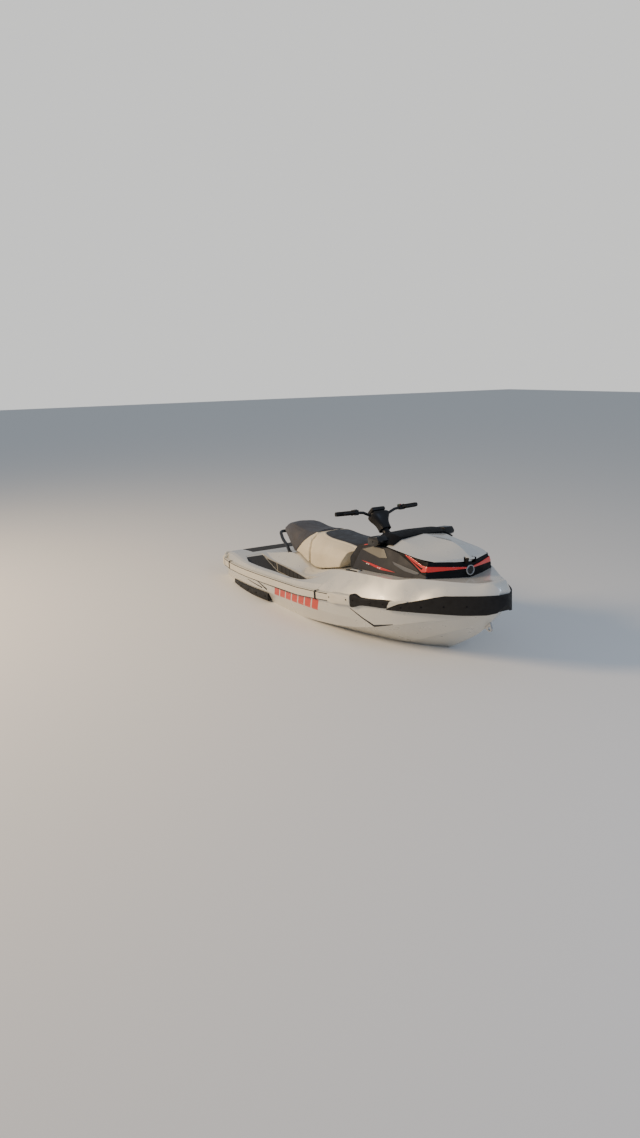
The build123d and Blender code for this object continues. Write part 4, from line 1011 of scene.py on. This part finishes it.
# Each control block carries push buttons, moulded in their own colours and sprung in the block: red to stop
# and green to start on one side, and two grey ones for trim on the other.

BUTTON_X = 0.282
BUTTON_PROFILE = ((0.0065, -0.001), (0.0065, 0.003), (0.0058, 0.0042), (0.003, 0.0048))
block_skin = moulding("control_levers")


def button_plastic(name, dark, light, roughness):
    """Plastic coloured through, with a faint swirl where it flowed into the mould."""
    return finish(name, {"Roughness": roughness}, tints=(pattern("Noise", 6.25, 3.0), dark, light))


red_button = button_plastic("moulded_red_button", "#A61614", "#C0201B", 0.42)
green_button = button_plastic("moulded_green_button", "#256B36", "#348848", 0.42)
grey_button = button_plastic("moulded_grey_button", "#64666A", "#787A7E", 0.45)
for name, y, material in (
    ("stop_button", 0.222, red_button),
    ("start_button", 0.206, green_button),
    ("trim_button_up", -0.206, grey_button),
    ("trim_button_down", -0.222, grey_button),
):
    hit, _, _, _ = block_skin.ray_cast(Vector((BUTTON_X, y, 1.2)), Vector((0, 0, -1)))
    if hit is not None:
        disc(name, hit, Vector((0, 0, 1)), BUTTON_PROFILE, material, "steering")


# The gauge is a dark glass face bonded into its pod under the bars. Nine plain tick marks and a level bar
# are screen printed on it.

LOOK_FROM, LOOK_ALONG = Vector((-0.6, 0, 1.05)), Vector((1.16, 0, -0.40)).normalized()
GLASS_HALF, GLASS_HIGH, GLASS_CORNER, GLASS_THICK = 0.066, 0.020, 0.006, 0.002
CORNER_POINTS = 24
INK_THICK = 0.0003
SEATED = 0.001
TICK_COUNT, TICK_FIRST, TICK_PITCH, TICK_WIDE, TICK_FOOT = 9, -0.052, 0.013, 0.0016, 0.010
TICK_SHORT, TICK_LONG = 0.004, 0.007
LEVEL_BAR = (-0.052, 0.020, -0.010, -0.004)
face_at, face_out, _, _ = moulding("gauge_pod").ray_cast(LOOK_FROM, LOOK_ALONG)
face_across = Vector((0, 1, 0))
face_up = face_out.cross(face_across).normalized()
if face_up.z < 0:
    face_up = -face_up


def face_plate(name, outline, material, lift, thick):
    """A flat plate on the gauge's face, from an outline across and up."""
    flat = [face_at + face_across * a + face_up * u for a, u in outline]
    low = [point + face_out * (lift - SEATED) for point in flat]
    high = [point + face_out * (lift + thick) for point in flat]
    bm = bmesh.new()
    skin(bm, [low, high])
    bmesh.ops.recalc_face_normals(bm, faces=bm.faces[:])
    shade(new_piece(name, bm, material))


def box_outline(left, right_end, foot, head):
    """The corners of a rectangle."""
    return [(left, foot), (right_end, foot), (right_end, head), (left, head)]


# Bonded glass is black and wet looking, with a faint haze
gauge_glass = finish(
    "bonded_dark_glass",
    {"Base Color": hex_colour("#0D0F12"), "Coat Weight": 1.0, "Coat Roughness": 0.06},
    rough=(pattern("Noise", 33.3, 4.0), 0.06, 0.14),
)
# Screen ink is flat and nearly white
printed_white = finish(
    "screen_printed_white",
    {"Roughness": 0.5},
    tints=(pattern("Noise", 5.0, 3.0), "#D2D5D8", "#E6E8EA"),
)
glass = []
for i in range(CORNER_POINTS):
    turn = math.tau * i / CORNER_POINTS
    c, s = math.cos(turn) * GLASS_CORNER, math.sin(turn) * GLASS_CORNER
    glass.append((c + (GLASS_HALF if c > 0 else -GLASS_HALF), s + (GLASS_HIGH if s > 0 else -GLASS_HIGH)))
face_plate("gauge_glass", glass, gauge_glass, 0.0, GLASS_THICK)
for i in range(TICK_COUNT):
    left = TICK_FIRST + i * TICK_PITCH
    head = TICK_FOOT + (TICK_SHORT if i % 4 else TICK_LONG)
    tick = box_outline(left, left + TICK_WIDE, TICK_FOOT, head)
    face_plate("gauge_tick_%d" % i, tick, printed_white, GLASS_THICK, INK_THICK)
face_plate("gauge_bar", box_outline(*LEVEL_BAR), printed_white, GLASS_THICK, INK_THICK)


# The seats are moulded foam under sewn marine vinyl, dark where they are sat on and cream at the sides.
# The covers are pulled tight over the foam, so their panels swell a little between the seams.

VOXEL = 0.0076
FIRST_SMOOTH, LAST_SMOOTH = 14, 16
DRAWN_IN, MOST_SWELL = 0.005, 0.009
HELD_UP_TO = 0.12
CLOTH_PRESSURE, CLOTH_FRAMES = 4.0, 20
BEAD_HIGH, BEAD_WIDE = 0.0022, 0.0045
CHANNEL_DEEP, CHANNEL_OFF, CHANNEL_WIDE, SEAM_WIDE = 0.0016, 0.012, 0.007, 0.0055
PIPING_HALF = 0.004
PAD_MID_X, PAD_HALF_X, PAD_HALF_Y, PAD_CORNER = -0.055, 0.325, 0.148, 5
# Columns: x and height above the keel of a point on the seam, its lean, and the cosine of its lean
SIDE_SEAMS = ((-0.405, 0.738, 0.39, 0.93), (-0.285, 0.801, 0.48, 0.90))
SIDE_FROM_Y = 0.16
BAND_FOOT = (-0.662, 0.671 - DRAFT)
BAND_HEAD = (-0.452, 0.828 - DRAFT)
TOP_SEAM_AFT_Y, TOP_SEAM_WIDENS, TOP_SEAM_X, TOP_SEAM_OVER = 0.100, 0.045, -1.24, 0.4
TOP_SEAM_ABOVE, TOP_SEAM_BEFORE = 0.60, -0.62


def bake_modifiers(piece):
    """Turns a piece's modifiers into its mesh."""
    graph = bpy.context.evaluated_depsgraph_get()
    mesh = bpy.data.meshes.new_from_object(piece.evaluated_get(graph))
    piece.modifiers.clear()
    piece.data = mesh


def cushion(node):
    """A cushion from its solid: remeshed, drawn in, inflated as cloth, and held to a small swell."""
    piece = bpy.data.objects.new(node + "_cover", nodes[node].data.copy())
    bpy.context.collection.objects.link(piece)
    weld = piece.modifiers.new("weld", "WELD")
    weld.merge_threshold = 0.00005
    remesh = piece.modifiers.new("remesh", "REMESH")
    remesh.mode = "VOXEL"
    remesh.voxel_size = VOXEL
    smooth = piece.modifiers.new("smooth", "SMOOTH")
    smooth.iterations = FIRST_SMOOTH
    draw_in = piece.modifiers.new("draw_in", "DISPLACE")
    draw_in.strength = -DRAWN_IN
    draw_in.mid_level = 0.0
    settle = piece.modifiers.new("settle", "SMOOTH")
    settle.iterations = LAST_SMOOTH
    bake_modifiers(piece)
    start = [v.co.copy() for v in piece.data.vertices]
    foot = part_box(node)[0][2]
    cloth = piece.modifiers.new("cloth", "CLOTH")
    cloth.settings.use_pressure = True
    cloth.settings.uniform_pressure_force = CLOTH_PRESSURE
    cloth.settings.effector_weights.gravity = 0.0
    cloth.settings.quality = 4
    cloth.collision_settings.use_collision = False
    cloth.point_cache.frame_start = 1
    cloth.point_cache.frame_end = CLOTH_FRAMES
    for step in range(1, CLOTH_FRAMES + 1):
        bpy.context.scene.frame_set(step)
    bake_modifiers(piece)
    bpy.context.scene.frame_set(1)
    for v, was in zip(piece.data.vertices, start):
        moved = v.co - was
        limit = MOST_SWELL * min(1.0, max(0.0, (was.z - foot) / HELD_UP_TO))
        if moved.length > limit:
            moved = moved.normalized() * limit
        v.co = was + moved
    return piece


def sew(piece, measure):
    """Works a cover's seams: a bead with a channel each side along the panel's edge, and sewn channels."""
    fine = piece.modifiers.new("fine", "SUBSURF")
    fine.levels = fine.render_levels = 1
    bake_modifiers(piece)
    mesh = piece.data
    normals = [v.normal.copy() for v in mesh.vertices]
    field = mesh.attributes.new("panel", "FLOAT", "POINT")
    for v, normal in zip(mesh.vertices, normals):
        panel, seams = measure(v.co)
        field.data[v.index].value = panel
        lift = BEAD_HIGH * math.exp(-((panel / BEAD_WIDE) ** 2))
        lift -= CHANNEL_DEEP * math.exp(-(((abs(panel) - CHANNEL_OFF) / CHANNEL_WIDE) ** 2))
        for distance in seams:
            lift -= CHANNEL_DEEP * math.exp(-((distance / SEAM_WIDE) ** 2))
        v.co += normal * lift
    for face in mesh.polygons:
        face.use_smooth = True


def front_panels(p):
    """Signed distance into the black pad, and distances to the side seams."""
    across = abs(p.y) / PAD_HALF_Y
    along = abs(p.x - PAD_MID_X) / PAD_HALF_X
    pad = (1.0 - (across ** PAD_CORNER + along ** PAD_CORNER) ** (1 / PAD_CORNER)) * PAD_HALF_Y
    if abs(p.y) <= SIDE_FROM_Y:
        return pad, []
    return pad, [cosine * (p.x - x - (high - DRAFT - p.z) * lean) for x, high, lean, cosine in SIDE_SEAMS]


def rear_panels(p):
    """Signed distance above the slanting seam under the dark dome, and distances to the top seams."""
    run, rise = BAND_HEAD[0] - BAND_FOOT[0], BAND_HEAD[1] - BAND_FOOT[1]
    line = BAND_FOOT[1] + (p.x - BAND_FOOT[0]) * rise / run
    dome = (p.z - line) * run / math.hypot(run, rise)
    if p.z <= TOP_SEAM_ABOVE or p.x >= TOP_SEAM_BEFORE:
        return dome, []
    widened = min(1.0, max(0.0, (p.x - TOP_SEAM_X) / TOP_SEAM_OVER))
    return dome, [abs(p.y) - (TOP_SEAM_AFT_Y + TOP_SEAM_WIDENS * widened)]


def seat_vinyl(name, inside, outside, piping):
    """Sewn vinyl: leather grain, faint sun fading, and piping where the two colours meet."""
    made = finish(
        name,
        {},
        rough=(pattern("Noise", 55.6, 5.0), 0.42, 0.6),
        relief=[(pattern("Voronoi", 1.61), 0.4, 0.0004)],
    )
    tree = made.node_tree
    fading = {"Value": pattern("Noise", 166.7, 5.0)(tree), "From Min": NOISE_LOW, "From Max": NOISE_HIGH}
    faded = add_node(tree, "ShaderNodeMapRange", fading)
    panel = add_node(tree, "ShaderNodeAttribute", attribute_name="panel").outputs["Fac"]
    from_edge = add_node(tree, "ShaderNodeMath", {0: panel}, operation="ABSOLUTE")
    layers = []
    for fresh, old in (outside, inside):
        mix = {0: faded, MIX_UNDER: hex_colour(fresh), MIX_OVER: hex_colour(old)}
        layers.append(add_node(tree, "ShaderNodeMix", mix, data_type="RGBA").outputs[MIX_RESULT])
    is_inside = add_node(tree, "ShaderNodeMath", {0: panel, 1: 0.0}, operation="GREATER_THAN")
    is_piping = add_node(tree, "ShaderNodeMath", {0: from_edge, 1: PIPING_HALF}, operation="LESS_THAN")
    base = layers[0]
    for mask, colour in ((is_inside, layers[1]), (is_piping, hex_colour(piping))):
        sewn = {0: mask, MIX_UNDER: base, MIX_OVER: colour}
        base = add_node(tree, "ShaderNodeMix", sewn, data_type="RGBA").outputs[MIX_RESULT]
    tree.links.new(base, tree.nodes["Principled BSDF"].inputs["Base Color"])
    return made


# Each vinyl has its fresh and its faded colour
BLACK_VINYL = ("#1F2024", "#2A2B2F")
GREY_VINYL = ("#37363A", "#434143")
CREAM_VINYL = ("#D8CDB4", "#C9BEA5")
for node, measure, inside, piping in (
    ("front_seat", front_panels, BLACK_VINYL, "#B9B3A4"),
    ("rear_seat", rear_panels, GREY_VINYL, "#141416"),
):
    cover = cushion(node)
    sew(cover, measure)
    cover.data.materials.clear()
    cover.data.materials.append(seat_vinyl(node + "_vinyl", inside, CREAM_VINYL, piping))
    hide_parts(node)
    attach(cover, "hull")


# The grab handle is one bent steel tube under a satin black powder coat, bolted up behind the rear seat.
# The coat is a little rougher than on the bars.

coated_tube = black_moulding("powder_coated_tube", "#1C1C1E", "#262628", 0.4, 0.714, 0.0001)
dress(["grab_handle"], coated_tube)
